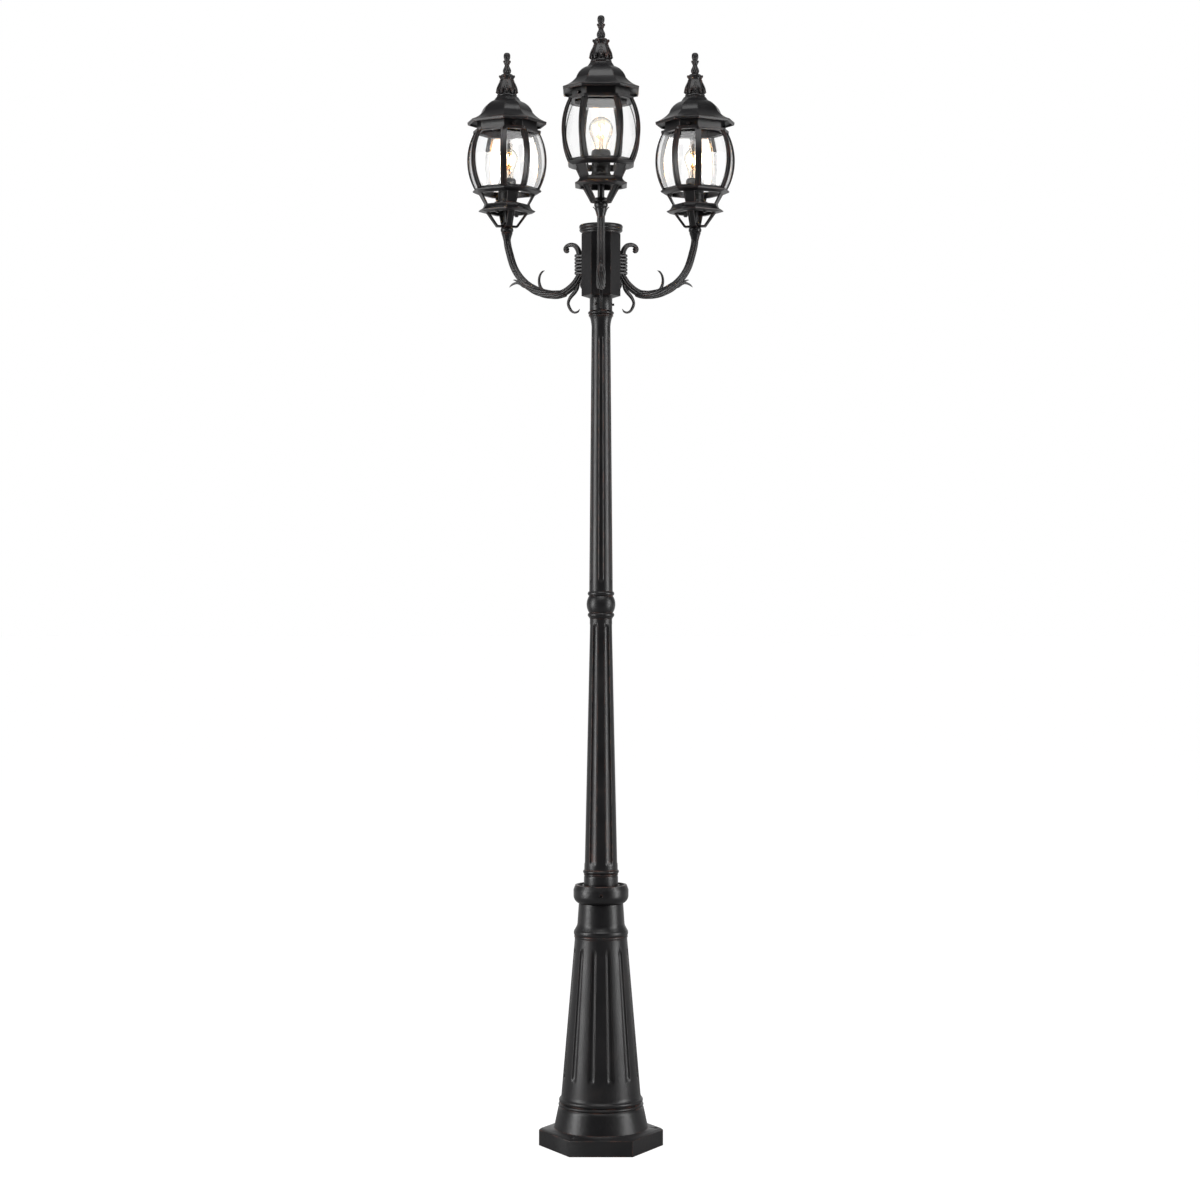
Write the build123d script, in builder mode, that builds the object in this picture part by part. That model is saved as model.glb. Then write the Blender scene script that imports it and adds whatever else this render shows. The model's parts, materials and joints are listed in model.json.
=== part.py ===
from build123d import *

import os
from math import asin, cos, degrees, radians, sin, sqrt, tan

# Triple head lamp post. A fluted post on a six-sided foot carries a six-sided hub, and three curved
# cast arms leave the hub to carry one octagonal lantern each. Millimetres, +Z up, the front towards -Y.
# The origin is the centre of the three anchor holes, on the ground.
os.makedirs("parts", exist_ok=True)

# --- The three heads: the front one is modelled, and the others are it turned about the post ---
HEADS = {"front": 0, "right": 120, "left": 240}
arm_reach = 237.5  # from the post's axis to each lantern's axis

# --- Fits ---
seat_gap = 0.3  # between pieces that seat on or slide in each other
screw_gap = 0.15  # round a screw in its hole

# --- Foot and base casting ---
foot_corner_radius = 132.8
foot_height = 37.0
foot_chamfer = 4.0
anchor_circle_radius = 117.0
anchor_hole_radius = 5.5
anchor_angles = (0, 120, 240)
skirt_foot_radius = 101.0
skirt_top_radius = 90.2
skirt_height = 51.0
foot_ring_radius = 91.6
column_foot_radius = 84.9
foot_ring_height = 20.0
column_top_radius = 56.4
column_height = 332.0
column_ring_radius = 58.4
column_ring_height = 21.0
neck_foot_radius = 50.4
neck_ogee_height = 16.0
neck_top_radius = 47.7
neck_height = 43.0
base_wall = 6.5
base_flute_count = 12
base_flute_width = 10.5
base_flute_depth = 3.0
base_flute_margin = 24.0  # plain length left above and below the flutes

# --- Collar that clamps the lower pole ---
collar_radius = 58.9
collar_foot_radius = 50.5
collar_top_radius = 55.0
collar_height = 38.0
collar_groove = 8.0
collar_screw_radius = 3.0
collar_screw_height = 19.0
collar_screw_length = 20.0
collar_screw_angles = (0, 90, 180, 270)

# --- Lower pole ---
pole_wall = 4.0
pole_socket_depth = 26.0  # how far the lower pole stands in the base
plain_radius = 36.5
plain_height = 18.0  # plain length above the collar
lower_ring_radius = 38.6
lower_ring_height = 15.0
lower_pole_foot_radius = 35.9
lower_pole_top_radius = 23.8
lower_pole_length = 536.0  # above its ring
pole_flute_count = 6
lower_flute_width = 10.0
lower_flute_depth = 2.6
lower_flute_margin = 12.0

# --- Coupling between the two poles ---
coupling_step = 3.0
coupling_ring_radius = 28.5
coupling_ring_height = 9.5
coupling_ball_radius = 30.8
coupling_ball_height = 36.0
coupling_spigot_length = 38.0

# --- Upper pole ---
upper_pole_foot_radius = 25.2
upper_pole_top_radius = 20.2
upper_flute_width = 7.6
upper_flute_depth = 2.0
upper_flute_margin = 20.0
cup_height = 20.0
upper_pole_length = 567.0  # up to its cup
cup_ring_radius = 27.8
cup_ring_height = 13.0
spigot_radius = 19.4
spigot_length = 26.0

# --- Hub ---
fitter_radius = 24.2
fitter_length = 27.0
fitter_screw_radius = 2.5
fitter_screw_reach = 28.2
hub_corner_radius = 41.7
hub_chamfer = 5.0
hub_height = 133.0
hub_wall = 6.0
cap_radius = 46.8
cap_height = 21.0
cap_plug_depth = 8.0

# --- Arms: a quarter circle under each lantern and a tighter arc up to the bracket ---
arm_root_depth = 15.6  # from the hub's side to the arm's end in its bracket
arm_hub_arc_radius = 58.0
arm_hub_arc_turn = 76.0
arm_lobe_radius = 8.2
arm_groove_radius = 6.0
arm_lobe_count = 6
bracket_depth = 26.0
bracket_width = 17.0
bracket_core_width = 13.0
bracket_band_count = 6
bracket_band_pitch = 7.5
bracket_band_height = 5.4
tendril_thickness = 5.6
scroll_foot_radius = 6.0
scroll_tip_radius = 3.4
scroll_turn_radius = 20.5
volute_turn_radius = 13.0
volute_eye_turn_radius = 4.6
volute_radius = 4.6
arm_bolt_radius = 2.5
arm_bolt_head_radius = 4.5
arm_bolt_head_height = 3.6
arm_bolt_length = 20.0
arm_bolt_washer = 1.0
cup_rise = 164.0  # from the hub's foot to the top of the cup that carries a lantern
lantern_cup_radius = 13.3
lantern_cup_height = 13.0
lantern_cup_flare = 16.0

# --- Lantern: an octagon with wide sides square to the arm and narrow ones between them ---
corner_angle = 27.0  # from the middle of a wide side to its corner
plate_thickness = 4.0
strut_height = 31.0
strut_foot_width = 14.0
strut_head_width = 15.0
strut_thickness = 3.6
strut_foot_reach = 21.0
strut_head_reach = 43.0
lower_ring_lip = 52.9
lower_ring_top_apothem = 43.0
lower_ring_bore = 36.0
lower_ring_share = 1.136  # its narrow sides stand further out than the cage's
lower_ring_depth = 18.0
panel_foot_reach = 46.0
panel_head_reach = 58.6
panel_foot_width = 21.0
panel_head_width = 25.5
panel_height = 23.0
panel_thickness = 3.2
upper_ring_lip = 67.4
upper_ring_top_apothem = 61.5
upper_ring_foot_apothem = 57.0
upper_ring_bore = 50.0
upper_ring_depth = 13.0
glass_height = 120.0
flange_apothem = 66.2
flange_thickness = 5.5
rib_radius = 86.7  # outside of a rib at its widest, from the lantern's axis
rib_end_radius = 72.2
rib_width = 13.5
rib_web = 2.0
rib_bead_width = 4.0
rib_bead_height = 1.3
pane_thickness = 3.0
pane_joint = 0.6  # between neighbouring panes, behind a rib
band_apothem = 58.4
band_height = 12.0
band_wall = 3.0
neck_wall = 3.0
eave_apothem = 77.5
eave_gap = 1.5  # from the top of the cage's neck to the eave's underside
eave_height = 6.0
eave_drop = 0.8
roof_wall = 2.6
roof_waist_apothem = 50.5
roof_waist_rise = 20.5
roof_crown_apothem = 27.0
roof_crown_rise = 46.0
roof_step_height = 9.0
thumb_screw_radius = 1.9
thumb_head_radius = 3.6
thumb_head_length = 6.0
thumb_screw_angles = (-135, -45, 135)  # from the lantern's outward side

# --- Finial: a leafy bell, a crown of leaf tips, a pear and a knob ---
finial_foot_radius = 22.0
finial_foot_height = 7.0
finial_bell_radius = 20.7
finial_waist_radius = 12.8
finial_bell_height = 30.0
finial_crown_radius = 16.2
finial_crown_height = 14.0
finial_pear_radius = 9.2
finial_pear_height = 20.3
finial_neck_radius = 4.9
finial_collar_radius = 8.6
finial_collar_height = 11.0
finial_knob_radius = 7.7
finial_knob_height = 17.0
finial_lobe_count = 6
finial_lobe_radius = 3.4
finial_stud_radius = 4.0
finial_stud_length = 18.0

# --- Lamp holder and bulb ---
nipple_radius = 7.0
nipple_bore = 5.0
nipple_engagement = 5.0  # how far it stands in the socket
nut_across_flats = 22.0
nut_height = 5.0
bar_width = 18.0
bar_thickness = 2.0
bar_overlap = 7.0  # how far the bar lies over the lower ring at each end
bar_screw_radius = 2.0
bar_screw_head_radius = 4.2
bar_screw_head_height = 3.4
socket_radius = 19.0
socket_base_radius = 21.0
socket_base_height = 8.0
socket_height = 56.0
socket_floor = 25.0
shell_wall = 0.7
bulb_cap_radius = 13.0
bulb_cap_height = 25.0
bulb_cap_recess = 8.0
bulb_neck_radius = 12.0
bulb_globe_radius = 24.5
bulb_neck_top = 3.0  # straight neck above the cap
bulb_shoulder = 28.0  # from the cap up to where the neck meets the globe
bulb_length = 92.7
bulb_glass_wall = 1.0
filament_stem_radius = 4.0
filament_stem_height = 36.0
filament_wire_radius = 0.7
filament_span = 13.0

# --- Heights that follow from the dimensions above ---
skirt_top = foot_height + skirt_height
column_foot = skirt_top + foot_ring_height
column_top = column_foot + column_height
neck_foot = column_top + column_ring_height + neck_ogee_height
base_top = neck_foot + neck_height
collar_foot = base_top
collar_top = collar_foot + collar_height
lower_pole_foot = base_top - pole_socket_depth
plain_top = collar_top + plain_height
lower_ring_top = plain_top + lower_ring_height
lower_pole_top = lower_ring_top + lower_pole_length
coupling_foot = lower_pole_top
coupling_top = coupling_foot + coupling_step + 2 * coupling_ring_height + coupling_ball_height
upper_pole_foot = coupling_top
cup_foot = upper_pole_foot + upper_pole_length
cup_ring_foot = cup_foot + cup_height
fitter_foot = cup_ring_foot + cup_ring_height
hub_foot = fitter_foot + fitter_length + hub_chamfer
hub_top = hub_foot + hub_height
hub_apothem = hub_corner_radius * cos(radians(30))
hub_bore = hub_apothem - hub_wall
cup_top = hub_foot + cup_rise
arm_turn = radians(arm_hub_arc_turn)
arm_radius = arm_reach - hub_apothem - arm_root_depth - arm_hub_arc_radius * sin(arm_turn)
arm_centre = (arm_reach - arm_radius, cup_top - lantern_cup_height - lantern_cup_flare + 4)
arm_bottom = arm_centre[1] - arm_radius
hub_arc_centre = (arm_centre[0], arm_bottom + arm_hub_arc_radius)
bracket_foot = hub_arc_centre[1] - arm_hub_arc_radius * cos(arm_turn) - arm_groove_radius / 2
bracket_top = bracket_foot + bracket_band_count * bracket_band_pitch
lower_ring_foot = cup_top + strut_height
ring_top = lower_ring_foot + lower_ring_depth
upper_ring_foot = ring_top + panel_height
glass_foot = upper_ring_foot + upper_ring_depth
glass_top = glass_foot + glass_height
band_foot = glass_top + flange_thickness
eave_foot = band_foot + band_height + eave_gap
eave_top = eave_foot + eave_height
crown_top = eave_top + roof_crown_rise + roof_step_height
narrow_share = (1 + tan(radians(corner_angle))) / sqrt(2)  # narrow apothem over wide apothem
narrow_angles = (45, 135, 225, 315)
corner_angles = [side + corner_angle * way for way in (1, -1) for side in (0, 90, 180, 270)]
rib_rise = rib_radius - rib_end_radius
rib_arc_radius = ((glass_height / 2) ** 2 + rib_rise**2) / (2 * rib_rise)
rib_half_turn = asin((glass_height / 2 + flange_thickness / 2) / rib_arc_radius)
neck_apothem = band_apothem - band_wall - seat_gap
thumb_screw_z = band_foot + band_height / 2
bar_screw_reach = lower_ring_bore + bar_overlap / 2
bar_foot = ring_top
socket_foot = bar_foot + bar_thickness
socket_top = socket_foot + socket_height
socket_bore = bulb_cap_radius + 2 * seat_gap + shell_wall
contact_top = socket_foot + socket_floor + 5
bulb_foot = contact_top + seat_gap
bulb_cap_top = bulb_foot + bulb_cap_height
bulb_top = bulb_foot + bulb_length
globe_centre = bulb_top - bulb_globe_radius

arm_plane = Plane(origin=(0, 0, 0), x_dir=(0, -1, 0), z_dir=(-1, 0, 0))  # reach across, height up
lantern_axis = Axis((0, -arm_reach, 0), (0, 0, 1))


def lantern_plane(height):
    """Level plane on the front lantern's axis."""
    return Plane(origin=(0, -arm_reach, height))


def radial_plane(angle, height=0.0, reach=0.0, centre=(0, 0)):
    """Upright plane that faces away from a centre, at an angle from +X."""
    outward = Vector(cos(radians(angle)), sin(radians(angle)), 0)
    return Plane(
        origin=Vector(centre[0], centre[1], height) + outward * reach,
        x_dir=(-outward.Y, outward.X, 0),
        z_dir=outward,
    )


def facing_plane(angle, height=0.0, reach=0.0):
    """Upright plane on the front lantern, at an angle from its outward side."""
    return radial_plane(angle - 90, height, reach, (0, -arm_reach))


def write(name, piece):
    """Label a finished piece and write it."""
    piece.label = name
    export_step(piece, f"parts/{name}.step")


def write_heads(name, piece):
    """Write one copy of a head's piece for each arm, turned about the post."""
    for head, turn in HEADS.items():
        write(f"{head}_{name}", piece.rotate(Axis.Z, turn))


def trace(outline):
    """Draw an outline of points and (middle, end) arcs, and give its last point."""
    here = outline[0]
    for step in outline[1:]:
        if isinstance(step[0], tuple):
            ThreePointArc(here, step[0], step[1])
            here = step[1]
        else:
            Line(here, step)
            here = step
    return here


def turned(outline, plane=Plane.XZ):
    """Face inside a closed outline of (radius, height) points, to be turned about an axis."""
    with BuildSketch(plane) as face:
        with BuildLine():
            Line(trace(outline), outline[0])
        make_face()
    return face.sketch


def flute_cutter(width, depth, length):
    """Round-ended bar that leaves a flute of this width and depth, lying along Z."""
    radius = (width**2 / 4 + depth**2) / (2 * depth)
    with BuildPart() as cutter:
        Cylinder(radius, length)
        with Locations((0, 0, length / 2), (0, 0, -length / 2)):
            Sphere(radius)
    return cutter.part, radius - depth


def flutes(width, depth, count, foot, top, margin, first_angle):
    """Flute cutters round a cone given by its (radius, height) at the foot and the top."""
    slope = (foot[0] - top[0]) / (top[1] - foot[1])
    low, high = foot[1] + margin, top[1] - margin
    cutter, lift = flute_cutter(width, depth, (high - low) - width)
    middle = (low + high) / 2
    reach = foot[0] - slope * (middle - foot[1]) + lift
    tilt = -Axis((0, 0, 0), (slope, 0, 1)).direction.get_angle(Vector(0, 0, 1))
    return [
        Location((0, 0, 0), (0, 0, first_angle + 360 / count * i))
        * Location((reach, 0, middle), (0, tilt, 0))
        * cutter
        for i in range(count)
    ]


def octagon(apothem, share=None, mode=Mode.ADD):
    """Octagon for the sketch being drawn: a square with its corners cut off at 45 degrees."""
    corner = apothem * (sqrt(2) * (share or narrow_share) - 1)
    ring = []
    for quarter in range(4):
        for x, y in ((apothem, -corner), (apothem, corner)):
            for _ in range(quarter):
                x, y = -y, x
            ring.append((x, y))
    Polygon(*ring, align=None, mode=mode)


def widened(step, share):
    """Scale the apothem of an outline's point, or of both points of an arc."""
    if isinstance(step[0], tuple):
        return tuple(widened(point, share) for point in step)
    return (step[0] * share, step[1])


def octagonal(outline, share=None):
    """Solid on the front lantern's axis whose eight sides all follow one (apothem, height) outline."""
    with BuildPart() as solid:
        for angle, spread in ((0, 1), (90, 1), (45, share or narrow_share), (135, share or narrow_share)):
            with BuildSketch(facing_plane(angle)) as side:
                with BuildLine():
                    trace([widened(step, spread) for step in outline])
                    mirror(about=Plane.YZ)
                make_face()
            extrude(
                amount=2 * eave_apothem,
                both=True,
                mode=Mode.ADD if angle == 0 else Mode.INTERSECT,
            )
    return solid.part


def pane_outline(inset):
    """Bulging outline of the glass, or of its inside."""
    half = glass_height / 2 - seat_gap
    middle = (glass_foot + glass_top) / 2
    inside_ribs = rib_arc_radius - rib_web - rib_bead_height - seat_gap
    centre = rib_radius - rib_arc_radius
    share = cos(radians(corner_angle))
    widest = (centre + inside_ribs) * share - inset
    end = (centre + sqrt(inside_ribs**2 - half**2)) * share - inset
    return [
        (0, middle - half),
        (end, middle - half),
        ((widest, middle), (end, middle + half)),
        (0, middle + half),
    ]


def roof_outline(inset):
    """Bell outline of the roof, or of its inside."""
    low = 0 if inset == 0 else inset
    return [
        (0, eave_foot),
        (eave_apothem - eave_drop - inset, eave_foot),
        (eave_apothem - inset, eave_top - low),
        (
            (roof_waist_apothem + 11.5 - inset, eave_top + 0.42 * roof_waist_rise - low),
            (roof_waist_apothem - inset, eave_top + roof_waist_rise - low),
        ),
        (
            (roof_waist_apothem - 6 - inset, eave_top + 0.71 * roof_crown_rise - low),
            (roof_crown_apothem - inset, eave_top + roof_crown_rise - low),
        ),
        (roof_crown_apothem - inset, crown_top - 1.5 - low),
        (roof_crown_apothem - 1.5 - inset, crown_top - low),
        (0, crown_top - low),
    ]


def bulb_outline(inset):
    """Outline of the bulb's glass from its open neck to its top, or of its inside."""
    globe_radius = bulb_globe_radius - inset
    neck_top = bulb_cap_top + bulb_neck_top
    shoulder = bulb_cap_top + bulb_shoulder
    shoulder_radius = sqrt(globe_radius**2 - (globe_centre - shoulder) ** 2)
    return [
        (bulb_neck_radius - inset, bulb_cap_top - bulb_cap_recess + seat_gap),
        (bulb_neck_radius - inset, neck_top),
        (bulb_neck_radius + 2.6 - inset, (neck_top + shoulder) / 2 - 4),
        (shoulder_radius, shoulder),
        (globe_radius * cos(radians(30)), globe_centre + globe_radius * sin(radians(30))),
        (0, globe_centre + globe_radius),
    ]


# ---------------------------------------------------------------- base
foot_ring_foot = skirt_top + 2
with BuildPart() as base:
    with BuildSketch():
        RegularPolygon(foot_corner_radius, 6)
    extrude(amount=foot_height)
    chamfer(base.faces().sort_by(Axis.Z)[-1].edges(), foot_chamfer)
    revolve(
        turned(
            [
                (0, foot_chamfer),
                (skirt_foot_radius, foot_chamfer),
                (skirt_foot_radius, foot_height),
                (skirt_top_radius, skirt_top),
                (skirt_top_radius - 1.5, foot_ring_foot),
                ((foot_ring_radius, (foot_ring_foot + column_foot) / 2), (column_foot_radius, column_foot)),
                (column_top_radius, column_top),
                (
                    (column_ring_radius, column_top + column_ring_height / 2),
                    (column_top_radius + 1, column_top + column_ring_height),
                ),
                (
                    (neck_foot_radius + 1.6, neck_foot - 8),
                    (neck_foot_radius, neck_foot),
                ),
                (neck_top_radius, base_top),
                (0, base_top),
            ]
        ),
        axis=Axis.Z,
    )
    for cutter in flutes(
        base_flute_width,
        base_flute_depth,
        base_flute_count,
        (column_foot_radius, column_foot),
        (column_top_radius, column_top),
        base_flute_margin,
        360 / base_flute_count / 2,
    ):
        add(cutter, mode=Mode.SUBTRACT)
    revolve(
        turned(
            [
                (0, 0),
                (skirt_foot_radius - 2 * base_wall, 0),
                (skirt_top_radius - 1.5 * base_wall, skirt_top),
                (column_foot_radius - base_wall, column_foot),
                (column_top_radius - base_wall, column_top),
                (plain_radius - pole_wall, lower_pole_foot - 10),
                (plain_radius - pole_wall, lower_pole_foot),
                (plain_radius + seat_gap, lower_pole_foot),
                (plain_radius + seat_gap, base_top),
                (0, base_top),
            ]
        ),
        axis=Axis.Z,
        mode=Mode.SUBTRACT,
    )
    with Locations(
        *[(anchor_circle_radius * cos(radians(a)), anchor_circle_radius * sin(radians(a)), 0) for a in anchor_angles]
    ):
        Cylinder(
            anchor_hole_radius,
            foot_height,
            align=(Align.CENTER, Align.CENTER, Align.MIN),
            mode=Mode.SUBTRACT,
        )
write("base", base.part)

# ---------------------------------------------------------------- collar and its screws
collar_screw_z = collar_foot + collar_screw_height
with BuildPart() as collar:
    inner = plain_radius + seat_gap
    revolve(
        turned(
            [
                (inner, collar_foot),
                (collar_foot_radius, collar_foot),
                ((collar_radius - 2.6, collar_foot + 6), (collar_radius, collar_foot + 15)),
                (collar_radius, collar_top - 10),
                (collar_top_radius, collar_top),
                (collar_top_radius - collar_groove / 2, collar_top),
                (collar_top_radius - collar_groove, collar_top - collar_groove),
                (inner + 3, collar_top - collar_groove),
                (inner + 3, collar_top - 1),
                (inner, collar_top - 1),
            ]
        ),
        axis=Axis.Z,
    )
    for angle in collar_screw_angles:
        with BuildSketch(radial_plane(angle, collar_screw_z, plain_radius)):
            Circle(collar_screw_radius + screw_gap)
        extrude(amount=collar_radius, mode=Mode.SUBTRACT)
write("base_collar", collar.part)

with BuildPart() as collar_screws:
    for angle in collar_screw_angles:
        with BuildSketch(radial_plane(angle, collar_screw_z, plain_radius + seat_gap)):
            Circle(collar_screw_radius)
        extrude(amount=collar_screw_length)
        with BuildSketch(radial_plane(angle, collar_screw_z, plain_radius + seat_gap + collar_screw_length)):
            RegularPolygon(collar_screw_radius / 2, 6)
        extrude(amount=-collar_screw_radius, mode=Mode.SUBTRACT)
write("collar_screws", collar_screws.part)

# ---------------------------------------------------------------- lower pole
with BuildPart() as lower_pole:
    revolve(
        turned(
            [
                (plain_radius - pole_wall, lower_pole_foot),
                (plain_radius, lower_pole_foot),
                (plain_radius, plain_top),
                (
                    (lower_ring_radius, plain_top + lower_ring_height / 2),
                    (lower_pole_foot_radius, lower_ring_top),
                ),
                (lower_pole_top_radius, lower_pole_top),
                (lower_pole_top_radius - pole_wall, lower_pole_top),
                (lower_pole_top_radius - pole_wall, lower_pole_top - coupling_spigot_length - 2),
                (plain_radius - pole_wall, plain_top),
            ]
        ),
        axis=Axis.Z,
    )
    for cutter in flutes(
        lower_flute_width,
        lower_flute_depth,
        pole_flute_count,
        (lower_pole_foot_radius, lower_ring_top),
        (lower_pole_top_radius, lower_pole_top),
        lower_flute_margin,
        0,
    ):
        add(cutter, mode=Mode.SUBTRACT)
write("lower_pole", lower_pole.part)

# ---------------------------------------------------------------- pole coupling
ball_foot = coupling_foot + coupling_step + coupling_ring_height
ball_top = ball_foot + coupling_ball_height
coupling_bore = lower_pole_top_radius - 2 * pole_wall
with BuildPart() as coupling:
    revolve(
        turned(
            [
                (coupling_bore, coupling_foot - coupling_spigot_length),
                (lower_pole_top_radius - pole_wall - seat_gap, coupling_foot - coupling_spigot_length),
                (lower_pole_top_radius - pole_wall - seat_gap, coupling_foot),
                (lower_pole_top_radius + 0.6, coupling_foot),
                (lower_pole_top_radius + 2, coupling_foot + coupling_step),
                (
                    (coupling_ring_radius, coupling_foot + coupling_step + coupling_ring_height / 2),
                    (coupling_ring_radius - 3, ball_foot),
                ),
                (
                    (coupling_ball_radius, (ball_foot + ball_top) / 2),
                    (coupling_ring_radius - 3, ball_top),
                ),
                (
                    (coupling_ring_radius, ball_top + coupling_ring_height / 2),
                    (upper_pole_foot_radius + 0.6, coupling_top),
                ),
                (upper_pole_foot_radius - pole_wall - seat_gap, coupling_top),
                (upper_pole_foot_radius - pole_wall - seat_gap, coupling_top + coupling_spigot_length),
                (coupling_bore, coupling_top + coupling_spigot_length),
            ]
        ),
        axis=Axis.Z,
    )
write("pole_coupling", coupling.part)

# ---------------------------------------------------------------- upper pole
with BuildPart() as upper_pole:
    revolve(
        turned(
            [
                (upper_pole_foot_radius - pole_wall, upper_pole_foot),
                (upper_pole_foot_radius, upper_pole_foot),
                (upper_pole_top_radius, cup_foot),
                (
                    (upper_pole_top_radius + 1.6, cup_foot + 0.6 * cup_height),
                    (cup_ring_radius - 3, cup_ring_foot),
                ),
                (
                    (cup_ring_radius, cup_ring_foot + cup_ring_height / 2),
                    (cup_ring_radius - 3, fitter_foot),
                ),
                (spigot_radius, fitter_foot),
                (spigot_radius, fitter_foot + spigot_length),
                (spigot_radius - pole_wall, fitter_foot + spigot_length),
                (upper_pole_top_radius - pole_wall, cup_foot),
                (upper_pole_foot_radius - pole_wall, upper_pole_foot + coupling_spigot_length + 2),
            ]
        ),
        axis=Axis.Z,
    )
    for cutter in flutes(
        upper_flute_width,
        upper_flute_depth,
        pole_flute_count,
        (upper_pole_foot_radius, upper_pole_foot),
        (upper_pole_top_radius, cup_foot),
        upper_flute_margin,
        30,
    ):
        add(cutter, mode=Mode.SUBTRACT)
write("upper_pole", upper_pole.part)

# ---------------------------------------------------------------- hub, cap and fitter screws
fitter_screw_z = fitter_foot + fitter_length / 2
arm_bolt_middle = (bracket_foot + bracket_top) / 2
arm_bolt_pitch = (bracket_band_count - 3) * bracket_band_pitch
with BuildPart() as hub:
    with BuildSketch(Plane.XY.offset(hub_foot - hub_chamfer)):
        Circle(fitter_radius)
    with BuildSketch(Plane.XY.offset(hub_foot)):
        RegularPolygon(hub_corner_radius, 6)
    loft(ruled=True)
    with BuildSketch(Plane.XY.offset(hub_foot)):
        RegularPolygon(hub_corner_radius, 6)
    extrude(amount=hub_height)
    with BuildSketch(Plane.XY.offset(fitter_foot)):
        Circle(fitter_radius)
    extrude(amount=fitter_length)
    with BuildSketch(Plane.XY.offset(fitter_foot)):
        Circle(spigot_radius + seat_gap)
    extrude(amount=hub_height, mode=Mode.SUBTRACT)
    with BuildSketch(Plane.XY.offset(hub_foot + hub_chamfer)):
        Circle(hub_bore)
    extrude(amount=hub_height, mode=Mode.SUBTRACT)
    for angle in anchor_angles:
        with BuildSketch(radial_plane(angle, fitter_screw_z)):
            Circle(fitter_screw_radius + screw_gap)
        extrude(amount=hub_corner_radius, mode=Mode.SUBTRACT)
    for turn in HEADS.values():
        with BuildSketch(radial_plane(turn - 90, arm_bolt_middle)):
            with GridLocations(0, arm_bolt_pitch, 1, 2):
                Circle(arm_bolt_radius + screw_gap)
        extrude(amount=hub_corner_radius, mode=Mode.SUBTRACT)
write("hub", hub.part)

with BuildPart() as fitter_screws:
    for angle in anchor_angles:
        with BuildSketch(radial_plane(angle, fitter_screw_z, spigot_radius + seat_gap / 2)):
            Circle(fitter_screw_radius)
        extrude(amount=fitter_screw_reach - spigot_radius)
write("fitter_screws", fitter_screws.part)

with BuildPart() as hub_cap:
    bead_height = cap_height / 3
    revolve(
        turned(
            [
                (0, hub_top - cap_plug_depth),
                (hub_bore - seat_gap, hub_top - cap_plug_depth),
                (hub_bore - seat_gap, hub_top),
                (hub_corner_radius - 1, hub_top),
                (hub_corner_radius, hub_top + bead_height / 2),
                (
                    (cap_radius - 0.6, hub_top + bead_height),
                    (cap_radius - 1.6, hub_top + 1.5 * bead_height),
                ),
                (
                    (cap_radius, hub_top + 2 * bead_height),
                    (cap_radius - 2.6, hub_top + 2.7 * bead_height),
                ),
                (cap_radius / 2, hub_top + cap_height),
                (0, hub_top + cap_height + 1.5),
            ]
        ),
        axis=Axis.Z,
    )
write("hub_cap", hub_cap.part)

# ---------------------------------------------------------------- arms
scroll_start = (hub_apothem + arm_root_depth + 1, bracket_top - 3)


def hook(centre, radius, course):
    """Tapered hook in the arm's plane. Its course runs from the root to the tip, in (degrees round an arc of
    the arm, distance outside that arc, half width)."""
    spine = []
    for angle, offset, half in course:
        out = Vector(cos(radians(angle)), sin(radians(angle)))
        spine.append((Vector(*centre) + out * (radius + offset), half))
    left, right = [], []
    for i, (point, half) in enumerate(spine[:-1]):
        along = (spine[i + 1][0] - spine[max(i - 1, 0)][0]).normalized()
        across = Vector(-along.Y, along.X) * half
        left.append(point + across)
        right.append(point - across)
    tip = spine[-1][0]
    with BuildSketch(arm_plane) as outline:
        with BuildLine():
            Spline(*left, tip)
            Spline(*right, tip)
            Line(left[0], right[0])
        make_face()
    return outline.sketch


outer_hooks = {
    "upper_tendril": (
        (-80, -3, 2.5),
        (-71.5, -5.5, 3.4),
        (-67.5, -12.5, 3.2),
        (-64.3, -21, 2.8),
        (-62.4, -30, 2.1),
        (-62.6, -39, 1.6),
        (-67, -47.5, 0),
    ),
    "outer_leaf": (
        (-57, 3, 3.5),
        (-49.5, 7.5, 3.6),
        (-44.4, 11.5, 2.9),
        (-41.8, 19, 2.1),
        (-40.8, 33.4, 0),
    ),
}
inner_hooks = {
    "lower_hook": (
        (-150, 3, 3.2),
        (-136, 5.5, 3.8),
        (-123.5, 8, 4.0),
        (-114.5, 13, 2.9),
        (-110.4, 21, 3.0),
        (-110.5, 33, 2.6),
        (-113.5, 42.5, 2.5),
        (-119, 46.5, 2.0),
        (-125, 43.5, 0),
    ),
    "inner_hook": (
        (-167, 3, 2.2),
        (-158, 5, 2.6),
        (-151, 9.5, 2.6),
        (-148.5, 16, 2.0),
        (-152, 21, 0),
    ),
}

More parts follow.
